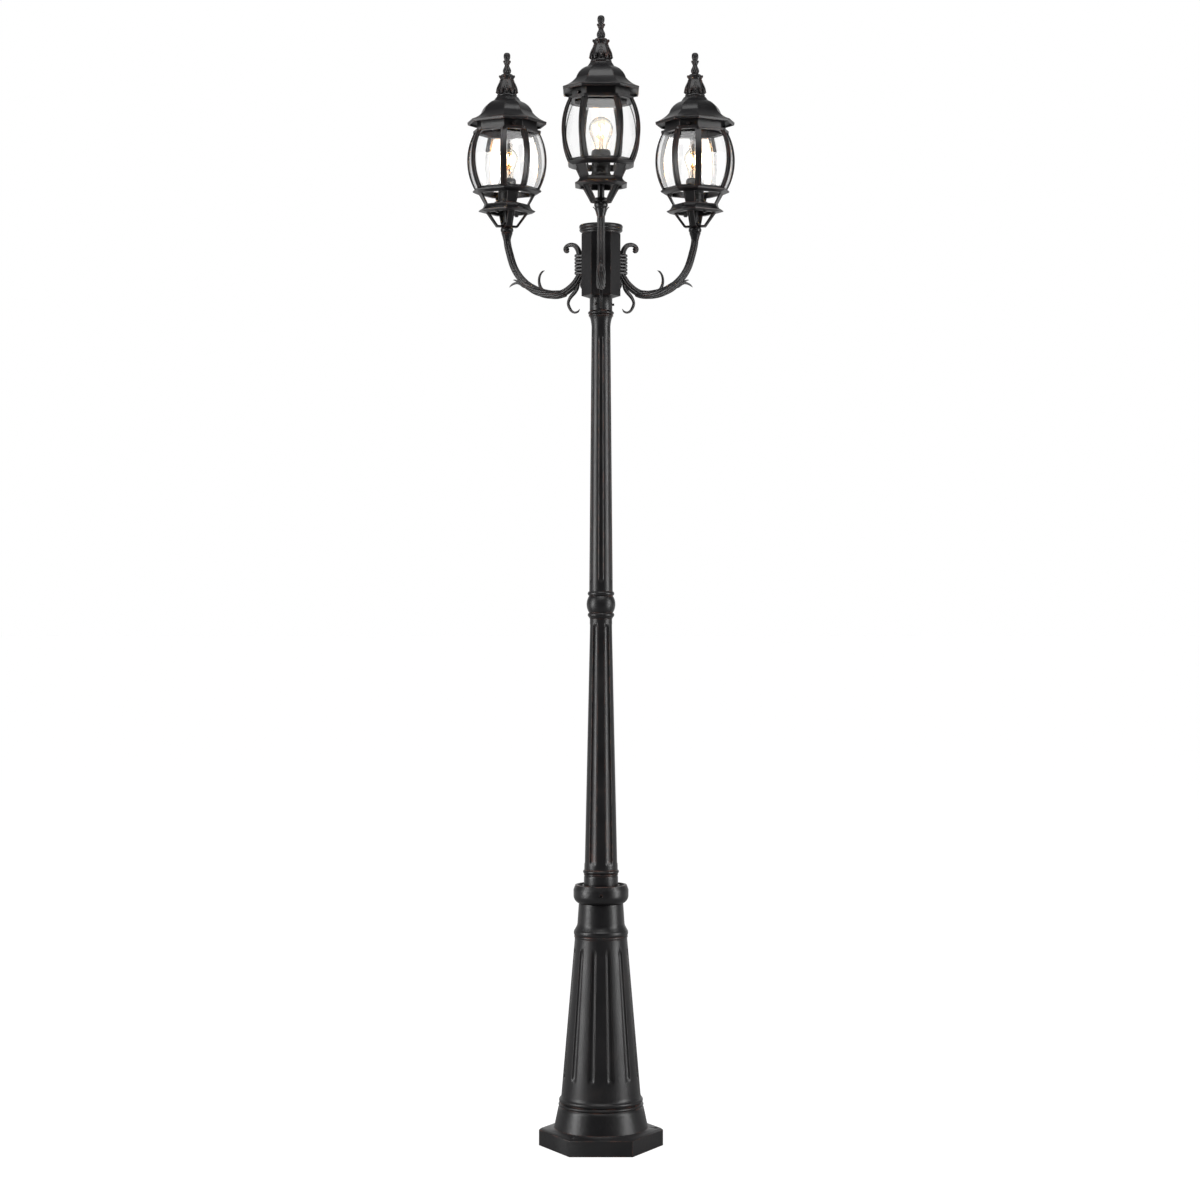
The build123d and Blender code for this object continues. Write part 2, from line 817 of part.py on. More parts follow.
with BuildPart() as arm:
    # bent bar of six lobes
    with BuildLine(arm_plane) as spine:
        CenterArc(hub_arc_centre, arm_hub_arc_radius, 270 - arm_hub_arc_turn, arm_hub_arc_turn)
        CenterArc(arm_centre, arm_radius, 270, 90)
        Line(
            (arm_reach, arm_centre[1]),
            (arm_reach, cup_top - lantern_cup_height - 1),
        )
    with BuildSketch(Plane(origin=spine.line @ 0, x_dir=(1, 0, 0), z_dir=spine.line % 0)):
        lobe = 360 / arm_lobe_count
        section = []
        for i in range(arm_lobe_count):
            for radius, offset in ((arm_lobe_radius, -0.2), (arm_lobe_radius, 0.2), (arm_groove_radius, 0.5)):
                angle = radians(lobe * (i + offset))
                section.append((radius * cos(angle), radius * sin(angle)))
        Polygon(*section, align=None)
    sweep(path=spine.line)
    # banded bracket against the hub
    with BuildSketch(Plane.XY.offset(bracket_foot)):
        with Locations((0, -hub_apothem)):
            Rectangle(bracket_core_width, bracket_depth - 2, align=(Align.CENTER, Align.MAX))
    extrude(amount=bracket_top - bracket_foot)
    for i in range(bracket_band_count):
        band_z = bracket_foot + (bracket_band_pitch - bracket_band_height) / 2 + i * bracket_band_pitch
        with BuildSketch(Plane.XY.offset(band_z)) as band:
            with Locations((0, -hub_apothem)):
                Rectangle(bracket_width, bracket_depth, align=(Align.CENTER, Align.MAX))
            chamfer(band.vertices().group_by(Axis.Y)[0], bracket_width / 5)
        extrude(amount=bracket_band_height)
    with BuildSketch(radial_plane(-90, arm_bolt_middle, hub_apothem)):
        with GridLocations(0, arm_bolt_pitch, 1, 2):
            Circle(arm_bolt_radius + screw_gap)
    extrude(amount=arm_bolt_length, mode=Mode.SUBTRACT)
    # scroll over the bracket, curled in to a round eye
    with BuildLine(arm_plane) as scroll:
        apex = (scroll_start[0] + scroll_turn_radius, scroll_start[1] + scroll_turn_radius)
        curl = (apex[0] + volute_turn_radius, apex[1] - volute_turn_radius)
        CenterArc((apex[0], scroll_start[1]), scroll_turn_radius, 180, -90)
        CenterArc((apex[0], curl[1]), volute_turn_radius, 90, -90)
        CenterArc((curl[0] - volute_eye_turn_radius, curl[1]), volute_eye_turn_radius, 0, -90)
    scroll_sections = []
    for share in (0, 0.3, 0.6, 1):
        with BuildSketch(Plane(origin=scroll.line @ share, z_dir=scroll.line % share)) as section:
            Circle(scroll_foot_radius + (scroll_tip_radius - scroll_foot_radius) * share)
        scroll_sections.append(section.sketch)
    sweep(sections=scroll_sections, path=scroll.line, multisection=True)
    eye = Vector(curl[0] - volute_eye_turn_radius, curl[1] - volute_eye_turn_radius)
    with Locations(arm_plane.from_local_coords(eye)):
        Sphere(volute_radius)
    # hooks and leaf cast on the arm
    for course in outer_hooks.values():
        extrude(hook(arm_centre, arm_radius, course), amount=tendril_thickness / 2, both=True)
    for course in inner_hooks.values():
        extrude(hook(hub_arc_centre, arm_hub_arc_radius, course), amount=tendril_thickness / 2, both=True)
    # flared cup that carries the lantern
    revolve(
        turned(
            [
                (0, cup_top - lantern_cup_height - lantern_cup_flare),
                (arm_groove_radius, cup_top - lantern_cup_height - lantern_cup_flare),
                (lantern_cup_radius - 1, cup_top - lantern_cup_height - 1),
                (lantern_cup_radius, cup_top - lantern_cup_height + 1.5),
                (lantern_cup_radius, cup_top - 1.5),
                (lantern_cup_radius - 1.5, cup_top),
                (nipple_radius + screw_gap, cup_top),
                (nipple_radius + screw_gap, cup_top - lantern_cup_height),
                (0, cup_top - lantern_cup_height),
            ],
            facing_plane(90),
        ),
        axis=lantern_axis,
    )
write_heads("arm", arm.part)

with BuildPart() as arm_bolts:
    for turn in HEADS.values():
        with BuildSketch(radial_plane(turn - 90, arm_bolt_middle, hub_bore - arm_bolt_washer)):
            with GridLocations(0, arm_bolt_pitch, 1, 2):
                Circle(arm_bolt_radius)
        extrude(amount=arm_bolt_washer + hub_wall + arm_bolt_length - 1)
        with BuildSketch(radial_plane(turn - 90, arm_bolt_middle, hub_bore - arm_bolt_washer)):
            with GridLocations(0, arm_bolt_pitch, 1, 2):
                RegularPolygon(arm_bolt_head_radius, 6)
        extrude(amount=-arm_bolt_head_height)
write("arm_bolts", arm_bolts.part)

# ---------------------------------------------------------------- basket under each lantern
with BuildPart() as basket:
    # octagonal lower ring with a sloping lip
    add(
        octagonal(
            [
                (0, lower_ring_foot),
                (lower_ring_lip - 9, lower_ring_foot),
                (lower_ring_lip, lower_ring_foot + 3),
                (lower_ring_lip, lower_ring_foot + 5),
                ((lower_ring_top_apothem + 3, ring_top - 8), (lower_ring_top_apothem, ring_top)),
                (0, ring_top),
            ],
            lower_ring_share,
        )
    )
    with BuildSketch(lantern_plane(lower_ring_foot)):
        octagon(lower_ring_bore)
    extrude(amount=lower_ring_depth, mode=Mode.SUBTRACT)
    for angle in narrow_angles:
        # panel from the lower ring up to the cage
        panel_foot = facing_plane(angle, ring_top - 1, panel_foot_reach)
        panel_head = facing_plane(angle, upper_ring_foot, panel_head_reach)
        for at, width in ((panel_foot, panel_foot_width), (panel_head, panel_head_width)):
            with BuildSketch(Plane(origin=at.origin, x_dir=at.x_dir, z_dir=(0, 0, 1))):
                Rectangle(width, panel_thickness)
        loft(ruled=True)
        # strut from the plate up to the lower ring
        strut_foot = facing_plane(angle, cup_top, strut_foot_reach)
        strut_head = facing_plane(angle, lower_ring_foot + 1, strut_head_reach)
        for at, width in ((strut_foot, strut_foot_width), (strut_head, strut_head_width)):
            with BuildSketch(Plane(origin=at.origin, x_dir=at.x_dir, z_dir=(0, 0, 1))):
                Rectangle(width, strut_thickness)
        loft(ruled=True)
    # plate on the arm's cup
    with BuildSketch(lantern_plane(cup_top)):
        for angle in (45, 135):
            Rectangle(2 * strut_foot_reach, strut_foot_width, rotation=angle)
    extrude(amount=plate_thickness)
    with BuildSketch(lantern_plane(cup_top)):
        Circle(nipple_radius + screw_gap)
    extrude(amount=plate_thickness, mode=Mode.SUBTRACT)
    # holes for the bar's screws
    with BuildSketch(lantern_plane(lower_ring_foot)):
        with GridLocations(2 * bar_screw_reach, 0, 2, 1):
            Circle(bar_screw_radius + screw_gap)
    extrude(amount=lower_ring_depth, mode=Mode.SUBTRACT)
write_heads("basket", basket.part)

# ---------------------------------------------------------------- cage: ring, eight ribs and neck
with BuildPart() as cage:
    add(
        octagonal(
            [
                (0, upper_ring_foot),
                (upper_ring_foot_apothem, upper_ring_foot),
                (upper_ring_lip - 1, upper_ring_foot + 4.5),
                (upper_ring_lip, upper_ring_foot + 7),
                (upper_ring_top_apothem, glass_foot),
                (0, glass_foot),
            ]
        )
    )
    with BuildSketch(lantern_plane(upper_ring_foot)):
        octagon(upper_ring_bore)
    extrude(amount=upper_ring_depth, mode=Mode.SUBTRACT)
    for corner in corner_angles:
        hoop = facing_plane(corner, (glass_foot + glass_top) / 2, rib_radius - rib_arc_radius)
        start = hoop.z_dir * cos(rib_half_turn) - Vector(0, 0, sin(rib_half_turn))
        with BuildSketch(Plane(origin=hoop.origin, x_dir=start, z_dir=start.cross(hoop.x_dir))):
            with Locations((rib_arc_radius - rib_bead_height, 0)):
                Rectangle(rib_web, rib_width, align=(Align.MAX, Align.CENTER))
            with Locations((rib_arc_radius, (rib_width - rib_bead_width) / 2)):
                Rectangle(rib_bead_height, rib_bead_width, align=(Align.MAX, Align.CENTER))
            with Locations((rib_arc_radius, (rib_bead_width - rib_width) / 2)):
                Rectangle(rib_bead_height, rib_bead_width, align=(Align.MAX, Align.CENTER))
        revolve(axis=Axis(hoop.origin, hoop.x_dir * -1), revolution_arc=degrees(2 * rib_half_turn))
    with BuildSketch(lantern_plane(glass_top)) as flange:
        octagon(flange_apothem)
    extrude(amount=flange_thickness)
    with BuildSketch(lantern_plane(band_foot)):
        octagon(neck_apothem)
    extrude(amount=band_height)
    with BuildSketch(lantern_plane(glass_top)):
        octagon(neck_apothem - neck_wall)
    extrude(amount=flange_thickness + band_height, mode=Mode.SUBTRACT)
write_heads("cage", cage.part)

# ---------------------------------------------------------------- eight bent panes of glass
with BuildPart() as panes:
    add(octagonal(pane_outline(0)))
    add(octagonal(pane_outline(pane_thickness)), mode=Mode.SUBTRACT)
    for corner in corner_angles:
        with BuildSketch(facing_plane(corner)):
            with Locations((0, (glass_foot + glass_top) / 2)):
                Rectangle(pane_joint, glass_height)
        extrude(amount=2 * eave_apothem, mode=Mode.SUBTRACT)
write_heads("glass_panes", panes.part)

# ---------------------------------------------------------------- roof and its thumb screws
with BuildPart() as roof:
    add(octagonal(roof_outline(0)))
    add(octagonal(roof_outline(roof_wall)), mode=Mode.SUBTRACT)
    with BuildSketch(lantern_plane(band_foot + seat_gap)):
        octagon(band_apothem)
        octagon(band_apothem - band_wall, mode=Mode.SUBTRACT)
    extrude(amount=eave_top + roof_waist_rise / 2 - band_foot - seat_gap)
    with BuildSketch(lantern_plane(eave_top)):
        Circle(finial_stud_radius + screw_gap)
    extrude(amount=crown_top - eave_top, mode=Mode.SUBTRACT)
    for angle in thumb_screw_angles:
        with BuildSketch(facing_plane(angle, thumb_screw_z)):
            Circle(thumb_screw_radius + screw_gap)
        extrude(amount=band_apothem * narrow_share + 1, mode=Mode.SUBTRACT)
write_heads("roof", roof.part)

with BuildPart() as thumb_screws:
    for angle in thumb_screw_angles:
        with BuildSketch(facing_plane(angle, thumb_screw_z, neck_apothem * narrow_share + seat_gap)):
            Circle(thumb_screw_radius)
        extrude(amount=band_wall + 2)
        with BuildSketch(facing_plane(angle, thumb_screw_z, band_apothem * narrow_share + seat_gap)):
            RegularPolygon(thumb_head_radius, 8)
        extrude(amount=thumb_head_length)
write_heads("roof_screws", thumb_screws.part)

# ---------------------------------------------------------------- finial
bell_foot = crown_top - finial_foot_height / 3
bell_top = bell_foot + finial_foot_height + finial_bell_height
pear_foot = bell_top + finial_crown_height
pear_top = pear_foot + finial_pear_height
knob_foot = pear_top + finial_collar_height
knob_middle = knob_foot + finial_knob_height / 2
with BuildPart() as finial:
    revolve(
        turned(
            [
                (0, crown_top - finial_stud_length),
                (finial_stud_radius, crown_top - finial_stud_length),
                (finial_stud_radius, crown_top),
                (finial_foot_radius - 2, crown_top),
                (
                    (finial_foot_radius, bell_foot + 0.5 * finial_foot_height),
                    (finial_foot_radius - 3, bell_foot + finial_foot_height),
                ),
                (
                    (finial_bell_radius, bell_foot + finial_foot_height + 0.27 * finial_bell_height),
                    (finial_bell_radius - 3.4, bell_foot + finial_foot_height + 0.55 * finial_bell_height),
                ),
                (
                    (finial_waist_radius + 1, bell_foot + finial_foot_height + 0.8 * finial_bell_height),
                    (finial_waist_radius, bell_top),
                ),
                (
                    (finial_waist_radius + 0.6, bell_top + finial_crown_height / 3),
                    (finial_crown_radius, bell_top + 0.6 * finial_crown_height),
                ),
                (finial_crown_radius, pear_foot),
                (0.75 * finial_pear_radius, pear_foot + 1),
                (
                    (finial_pear_radius, pear_foot + 0.34 * finial_pear_height),
                    (finial_neck_radius, pear_top),
                ),
                (
                    (finial_neck_radius + 0.5, pear_top + finial_collar_height / 3),
                    (finial_collar_radius, pear_top + 0.7 * finial_collar_height),
                ),
                (finial_collar_radius, pear_top + 0.8 * finial_collar_height),
                (0.65 * finial_knob_radius, knob_foot),
                (
                    (finial_knob_radius, knob_middle),
                    (finial_knob_radius / 4, knob_foot + finial_knob_height - 1),
                ),
                (0, knob_foot + finial_knob_height),
            ],
            facing_plane(90),
        ),
        axis=lantern_axis,
    )
    # curled lobes round the foot of the bell
    with Locations(lantern_plane(bell_foot + finial_foot_height)):
        with PolarLocations(finial_bell_radius - 1, finial_lobe_count):
            Sphere(finial_lobe_radius)
write_heads("finial", finial.part)

# ---------------------------------------------------------------- lamp holder
with BuildPart() as nipple:
    with BuildSketch(lantern_plane(cup_top - lantern_cup_height + seat_gap)):
        Circle(nipple_radius)
        Circle(nipple_bore, mode=Mode.SUBTRACT)
    extrude(amount=socket_foot + nipple_engagement - (cup_top - lantern_cup_height) - seat_gap)
write_heads("nipple", nipple.part)

with BuildPart() as locknut:
    with BuildSketch(lantern_plane(cup_top + plate_thickness)):
        RegularPolygon(nut_across_flats / 2, 6, major_radius=False)
        Circle(nipple_radius + screw_gap, mode=Mode.SUBTRACT)
    extrude(amount=nut_height)
write_heads("locknut", locknut.part)

with BuildPart() as bar:
    with BuildSketch(lantern_plane(bar_foot)):
        SlotOverall(2 * (lower_ring_bore + bar_overlap), bar_width)
        Circle(nipple_radius + screw_gap, mode=Mode.SUBTRACT)
        with GridLocations(2 * bar_screw_reach, 0, 2, 1):
            Circle(bar_screw_radius + screw_gap, mode=Mode.SUBTRACT)
    extrude(amount=bar_thickness)
write_heads("socket_bar", bar.part)

with BuildPart() as bar_screws:
    with BuildSketch(lantern_plane(lower_ring_foot)):
        with GridLocations(2 * bar_screw_reach, 0, 2, 1):
            Circle(bar_screw_radius)
    extrude(amount=lower_ring_depth + bar_thickness + 1)
    with BuildSketch(lantern_plane(lower_ring_foot)):
        with GridLocations(2 * bar_screw_reach, 0, 2, 1):
            Circle(bar_screw_head_radius)
    extrude(amount=-bar_screw_head_height)
    fillet(bar_screws.edges().group_by(Axis.Z)[0], bar_screw_head_height / 2)
write_heads("bar_screws", bar_screws.part)

with BuildPart() as socket:
    revolve(
        turned(
            [
                (nipple_radius + screw_gap, socket_foot),
                (socket_base_radius - 2, socket_foot),
                ((socket_base_radius, socket_foot + 3), (socket_radius, socket_foot + socket_base_height)),
                (socket_radius, socket_top),
                (socket_bore, socket_top),
                (socket_bore, socket_foot + socket_floor),
                (filament_stem_radius, socket_foot + socket_floor),
                (filament_stem_radius, contact_top),
                (0, contact_top),
                (0, socket_foot + nipple_engagement + seat_gap),
                (nipple_radius + screw_gap, socket_foot + nipple_engagement + seat_gap),
            ],
            facing_plane(90),
        ),
        axis=lantern_axis,
    )
write_heads("socket", socket.part)

with BuildPart() as shell:
    with BuildSketch(lantern_plane(socket_foot + socket_floor)):
        Circle(socket_bore - seat_gap)
        Circle(bulb_cap_radius + seat_gap, mode=Mode.SUBTRACT)
    extrude(amount=socket_top - 2 - socket_foot - socket_floor)
write_heads("socket_shell", shell.part)

# ---------------------------------------------------------------- bulb
with BuildPart() as bulb_cap:
    revolve(
        turned(
            [
                (0, bulb_foot),
                (filament_stem_radius, bulb_foot),
                (bulb_cap_radius - 1, bulb_foot + 5),
                (bulb_cap_radius, bulb_foot + 6),
                (bulb_cap_radius, bulb_cap_top),
                (bulb_neck_radius + seat_gap, bulb_cap_top),
                (bulb_neck_radius + seat_gap, bulb_cap_top - bulb_cap_recess),
                (0, bulb_cap_top - bulb_cap_recess),
            ],
            facing_plane(90),
        ),
        axis=lantern_axis,
    )
write_heads("bulb_cap", bulb_cap.part)

bulb_inside = bulb_cap_top - bulb_cap_recess + seat_gap
outside = bulb_outline(0)
inside = bulb_outline(bulb_glass_wall)
with BuildPart() as globe:
    revolve(
        turned(
            outside[:2]
            + [(outside[2], outside[3]), (outside[4], outside[5]), inside[5]]
            + [(inside[4], inside[3]), (inside[2], inside[1]), inside[0]],
            facing_plane(90),
        ),
        axis=lantern_axis,
    )
write_heads("bulb_globe", globe.part)

with BuildPart() as filament:
    with BuildSketch(lantern_plane(bulb_inside)):
        Circle(filament_stem_radius)
    extrude(amount=filament_stem_height)
    wire_foot = bulb_inside + filament_stem_height
    with BuildLine(facing_plane(0)) as wire:
        Polyline(
            (-filament_stem_radius / 2, wire_foot - 1),
            (-filament_span / 2, wire_foot + 8),
            (0, wire_foot + 11),
            (filament_span / 2, wire_foot + 8),
            (filament_stem_radius / 2, wire_foot - 1),
        )
    with BuildSketch(Plane(origin=wire.line @ 0, z_dir=wire.line % 0)):
        RegularPolygon(filament_wire_radius, 6)
    sweep(path=wire.line, transition=Transition.RIGHT)
write_heads("bulb_filament", filament.part)
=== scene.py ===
import json
import math

import bmesh
import bpy
from mathutils import Matrix, Vector


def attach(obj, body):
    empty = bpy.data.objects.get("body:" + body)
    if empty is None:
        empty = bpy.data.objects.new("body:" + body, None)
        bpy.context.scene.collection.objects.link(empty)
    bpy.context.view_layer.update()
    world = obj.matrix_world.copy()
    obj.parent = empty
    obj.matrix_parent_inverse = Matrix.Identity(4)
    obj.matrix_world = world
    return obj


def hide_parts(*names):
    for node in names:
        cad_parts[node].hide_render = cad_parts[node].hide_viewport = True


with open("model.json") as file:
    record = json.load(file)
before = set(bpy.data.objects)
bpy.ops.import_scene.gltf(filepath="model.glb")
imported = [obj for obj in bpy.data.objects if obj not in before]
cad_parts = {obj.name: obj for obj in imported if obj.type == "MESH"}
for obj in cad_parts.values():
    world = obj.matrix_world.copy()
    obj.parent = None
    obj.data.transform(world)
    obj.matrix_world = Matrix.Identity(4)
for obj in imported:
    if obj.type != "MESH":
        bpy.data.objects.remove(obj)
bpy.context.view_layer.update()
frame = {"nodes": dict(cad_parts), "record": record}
scene = bpy.context.scene

# Pieces are drawn in millimetres, as on a drawing of the post, and scaled to metres when finished.
# What belongs to a head is drawn once, on an arm along +X, and turned to each of the three.
MM = 0.001
HEADS = {"front": -90, "right": 30, "left": 150}  # direction of each arm from +X, in degrees
ARM_REACH = 237.5  # from the post's axis to a lantern's
HUB_SIDE = 36.11  # from the post's axis to a flat of the hub
BULB_FOOT = 2062.3  # height of the contact under a bulb
ROOF_SHOULDER = 2258.5  # height over which a roof's top is drawn in to the finial's foot
SHOULDER_DRAWN_IN = 0.83
# nodes that a piece of this script stands for, without the head's name
REMADE = {"base", "lower_pole", "upper_pole", "arm", "finial", "roof_screws", "socket"}
REMADE |= {"bulb_cap", "bulb_globe", "bulb_filament"}


# ---------------------------------------------------------------- materials
def linear(hex_colour):
    """Turn an sRGB hex value to the linear colour that a shader takes."""
    channels = []
    for i in (0, 2, 4):
        c = int(hex_colour.lstrip("#")[i : i + 2], 16) / 255
        channels.append(c / 12.92 if c <= 0.04045 else ((c + 0.055) / 1.055) ** 2.4)
    return (*channels, 1.0)


def grey(value):
    """A plain linear value as a colour, for ramps that give a share and not a colour."""
    return (value, value, value, 1.0)


def node(tree, kind, settings=None, links=None, **inputs):
    """Add one node, set its options, fill its sockets and link others to it."""
    made = tree.nodes.new(kind)
    for key, value in (settings or {}).items():
        setattr(made, key, value)
    for key, value in inputs.items():
        made.inputs[key.replace("_", " ")].default_value = value
    for key, socket in (links or {}).items():
        tree.links.new(socket, made.inputs[key])
    return made


def maths(tree, operation, first, second):
    """One Math node between a socket and a socket or number."""
    made = node(tree, "ShaderNodeMath", {"operation": operation}, {0: first})
    if isinstance(second, (int, float)):
        made.inputs[1].default_value = second
    else:
        tree.links.new(second, made.inputs[1])
    return made.outputs[0]


def new_material(name):
    """Empty material and its node tree."""
    made = bpy.data.materials.new(name)
    made.use_nodes = True
    made.node_tree.nodes.clear()
    return made, made.node_tree


def ramp(tree, source, stops):
    """Colour ramp of (place, colour) stops."""
    made = node(tree, "ShaderNodeValToRGB", links={"Fac": source})
    while len(made.color_ramp.elements) < len(stops):
        made.color_ramp.elements.new(0.5)
    for element, (place, colour) in zip(made.color_ramp.elements, stops):
        element.position = place
        element.color = colour
    return made.outputs["Color"]


def noise(tree, where, size, detail, roughness=0.55):
    """Cloudy pattern with patches about as wide as the size in millimetres."""
    made = node(
        tree,
        "ShaderNodeTexNoise",
        links={"Vector": where},
        Scale=1 / (size * MM),
        Detail=detail,
        Roughness=roughness,
    )
    return made.outputs["Fac"]


def principled(tree, links, **inputs):
    """Principled shader wired to the output."""
    shader = node(tree, "ShaderNodeBsdfPrincipled", links=links, **inputs)
    node(tree, "ShaderNodeOutputMaterial", links={"Surface": shader.outputs[0]})
    return shader


def rubbed_black_paint(name, edge_width=0.0018, rub=0.8, soft=0.0007):
    """Satin black powder coat on sand-cast aluminium, with a brown glaze rubbed on to its edges.

    It looks near black with a soft sheen. Its tone drifts over 60 mm. The casting's skin shows
    through as shallow pits of 8 mm and a grit of 1 mm, coarser than the real 0.3 mm, which a render
    can't show. The brown shows on edges, in patches of 20 mm, as it does where a hand wipes it on.
    edge_width and soft are the radii in metres over which an edge takes brown and catches light.
    """
    made, tree = new_material(name)
    where = node(tree, "ShaderNodeTexCoord").outputs["Object"]
    cloud = noise(tree, where, 62.5, 4)
    tone = ramp(
        tree,
        cloud,
        [(0.34, linear("#0d0c0e")), (0.56, linear("#121113")), (0.74, linear("#1b1717"))],
    )
    # the rounded normal leaves the true one where an edge is near
    rounded = node(tree, "ShaderNodeBevel", {"samples": 6}, Radius=edge_width)
    true = node(tree, "ShaderNodeNewGeometry")
    turn = node(
        tree,
        "ShaderNodeVectorMath",
        {"operation": "DOT_PRODUCT"},
        {0: rounded.outputs["Normal"], 1: true.outputs["Normal"]},
    )
    edge = ramp(tree, turn.outputs["Value"], [(0.88, grey(1)), (0.985, grey(0))])
    patch = ramp(tree, noise(tree, where, 21.74, 5, 0.65), [(0.46, grey(0)), (0.64, grey(1))])
    share = maths(tree, "MULTIPLY", maths(tree, "MULTIPLY", edge, patch), rub)
    colour = node(tree, "ShaderNodeMix", {"data_type": "RGBA"}, {0: share, 6: tone})
    colour.inputs[7].default_value = linear("#754a39")
    # skin of the casting under the coat, its pits about twice as deep as its grit
    pits = noise(tree, where, 7.69, 3, 0.5)
    grit = noise(tree, where, 1.11, 2, 0.6)
    height = maths(tree, "ADD", maths(tree, "MULTIPLY", pits, 2.2), grit)
    soft_edges = node(tree, "ShaderNodeBevel", {"samples": 4}, Radius=soft)
    bump = node(
        tree,
        "ShaderNodeBump",
        links={"Height": height, "Normal": soft_edges.outputs["Normal"]},
        Strength=0.5,
        Distance=0.00022,
    )
    gloss = ramp(tree, cloud, [(0.3, grey(0.32)), (0.7, grey(0.42))])
    principled(
        tree,
        {"Base Color": colour.outputs[2], "Roughness": gloss, "Normal": bump.outputs[0]},
        IOR=1.52,
    )
    return made


def clear_glass(name, tint, ripple, wave):
    """Clear glass with the faint ripple of sheet that was bent, or of a bulb that was blown.

    What shows through it and in it wavers a little, over waves as long as said in millimetres, and
    its shine dulls in patches of 17 mm, where dust lies on it.
    """
    made, tree = new_material(name)
    where = node(tree, "ShaderNodeTexCoord").outputs["Object"]
    bump = node(
        tree,
        "ShaderNodeBump",
        links={"Height": noise(tree, where, wave, 1)},
        Strength=ripple,
        Distance=0.0004,
    )
    film = ramp(tree, noise(tree, where, 16.67, 4), [(0.45, grey(0)), (0.8, grey(0.05))])
    shader = principled(
        tree,
        {"Normal": bump.outputs[0], "Roughness": film},
        Base_Color=linear(tint),
        IOR=1.47,
    )
    shader.inputs["Transmission Weight"].default_value = 1.0
    return made


def plated(name, colour, dark, rough):
    """Spun, plated or drawn metal: a satin shine, darker and duller in handling marks of 3 mm."""
    made, tree = new_material(name)
    where = node(tree, "ShaderNodeTexCoord").outputs["Object"]
    marks = noise(tree, where, 3.33, 4)
    tone = ramp(tree, marks, [(0.35, linear(dark)), (0.6, linear(colour))])
    gloss = ramp(tree, marks, [(0.3, grey(rough * 1.4)), (0.7, grey(rough))])
    bump = node(tree, "ShaderNodeBump", links={"Height": marks}, Strength=0.1, Distance=0.0001)
    principled(
        tree,
        {"Base Color": tone, "Roughness": gloss, "Normal": bump.outputs[0]},
        Metallic=1.0,
    )
    return made


def moulded_phenolic(name):
    """Compression-moulded black phenolic: nearly matte, with the 1.4 mm speckle of its filler."""
    made, tree = new_material(name)
    where = node(tree, "ShaderNodeTexCoord").outputs["Object"]
    speck = noise(tree, where, 1.43, 2)
    tone = ramp(tree, speck, [(0.4, linear("#0e0e0e")), (0.65, linear("#1b1a19"))])
    bump = node(tree, "ShaderNodeBump", links={"Height": speck}, Strength=0.2, Distance=0.0001)
    principled(
        tree,
        {"Base Color": tone, "Normal": bump.outputs[0]},
        Roughness=0.4,
        IOR=1.58,
    )
    return made


def glowing_wire(name, colour, strength):
    """Coiled tungsten at white heat, paler in spots of 2.5 mm, where its turns heat each other."""
    made, tree = new_material(name)
    where = node(tree, "ShaderNodeTexCoord").outputs["Object"]
    spots = noise(tree, where, 2.5, 2)
    heat = ramp(tree, spots, [(0.3, linear("#ffb45e")), (0.7, linear(colour))])
    shader = principled(tree, {"Emission Color": heat}, Base_Color=linear("#6b655c"), Roughness=0.5)
    shader.inputs["Emission Strength"].default_value = strength
    return made


cast_paint = rubbed_black_paint("rubbed black coat on cast aluminium")
pole_paint = rubbed_black_paint(
    "rubbed black coat on the post's castings", edge_width=0.004, rub=0.7, soft=0.0012
)
roof_paint = rubbed_black_paint("rubbed black coat on the roofs", edge_width=0.0025, soft=0.0035)
steel_paint = rubbed_black_paint("black coat on steel fittings", edge_width=0.0008, rub=0.5)
pane_glass = clear_glass("bent sheet glass of the panes", "#ffffff", 0.07, 29.41)
bulb_glass = clear_glass("blown glass of the bulbs", "#fffdf8", 0.03, 16.67)
brass = plated("spun brass screw shell", "#c69a4c", "#8d6a33", 0.28)
nickel = plated("nickel-plated brass cap", "#b9b6ae", "#85827b", 0.26)
phenolic = moulded_phenolic("moulded phenolic lamp holder")
tungsten = glowing_wire("glowing tungsten coil", "#ffe2b0", 40)
lead_wire = plated("copper-clad support wire", "#d9a45a", "#a8733a", 0.3)

FINISHES = {
    "post_paint": cast_paint,
    "clear_glass": pane_glass,
    "black_socket": phenolic,
    "brass_shell": brass,
    "nickel_cap": nickel,
    "bulb_glass": bulb_glass,
    "filament": tungsten,
    "plated_steel": steel_paint,
}
slots = {part["node"]: part["material_slot"] for part in frame["record"]["subparts"]}
bodies = frame["record"]["behaviour"]["bodies"]
body_of = {name: body for body, names in bodies.items() for name in names}


# ---------------------------------------------------------------- making and joining meshes
def smooth_line(points, count):
    """Points on a smooth line through the given ones, with a count of them to each run."""
    line = []
    ends = [points[0], *points, points[-1]]
    for a, b, c, d in zip(ends, ends[1:], ends[2:], ends[3:]):
        for i in range(count):
            t = i / count
            line.append(
                tuple(
                    0.5
                    * (
                        2 * q
                        + (r - p) * t
                        + (2 * p - 5 * q + 4 * r - s) * t * t
                        + (3 * q - p - 3 * r + s) * t**3
                    )
                    for p, q, r, s in zip(a, b, c, d)
                )
            )
    line.append(tuple(points[-1]))
    return line


def arc(centre, radius, first, last, count):
    """(reach, height) points on an arc in the arm's plane, from one angle in degrees to another."""
    points = []
    for i in range(count + 1):
        angle = math.radians(first + (last - first) * i / count)
        points.append((centre[0] + radius * math.cos(angle), centre[1] + radius * math.sin(angle)))
    return points


def between(value, low, high, soft):
    """1 between two heights, falling to 0 over a soft edge outside them."""
    return max(0.0, min(1.0, (value - low) / soft + 1, (high - value) / soft + 1))


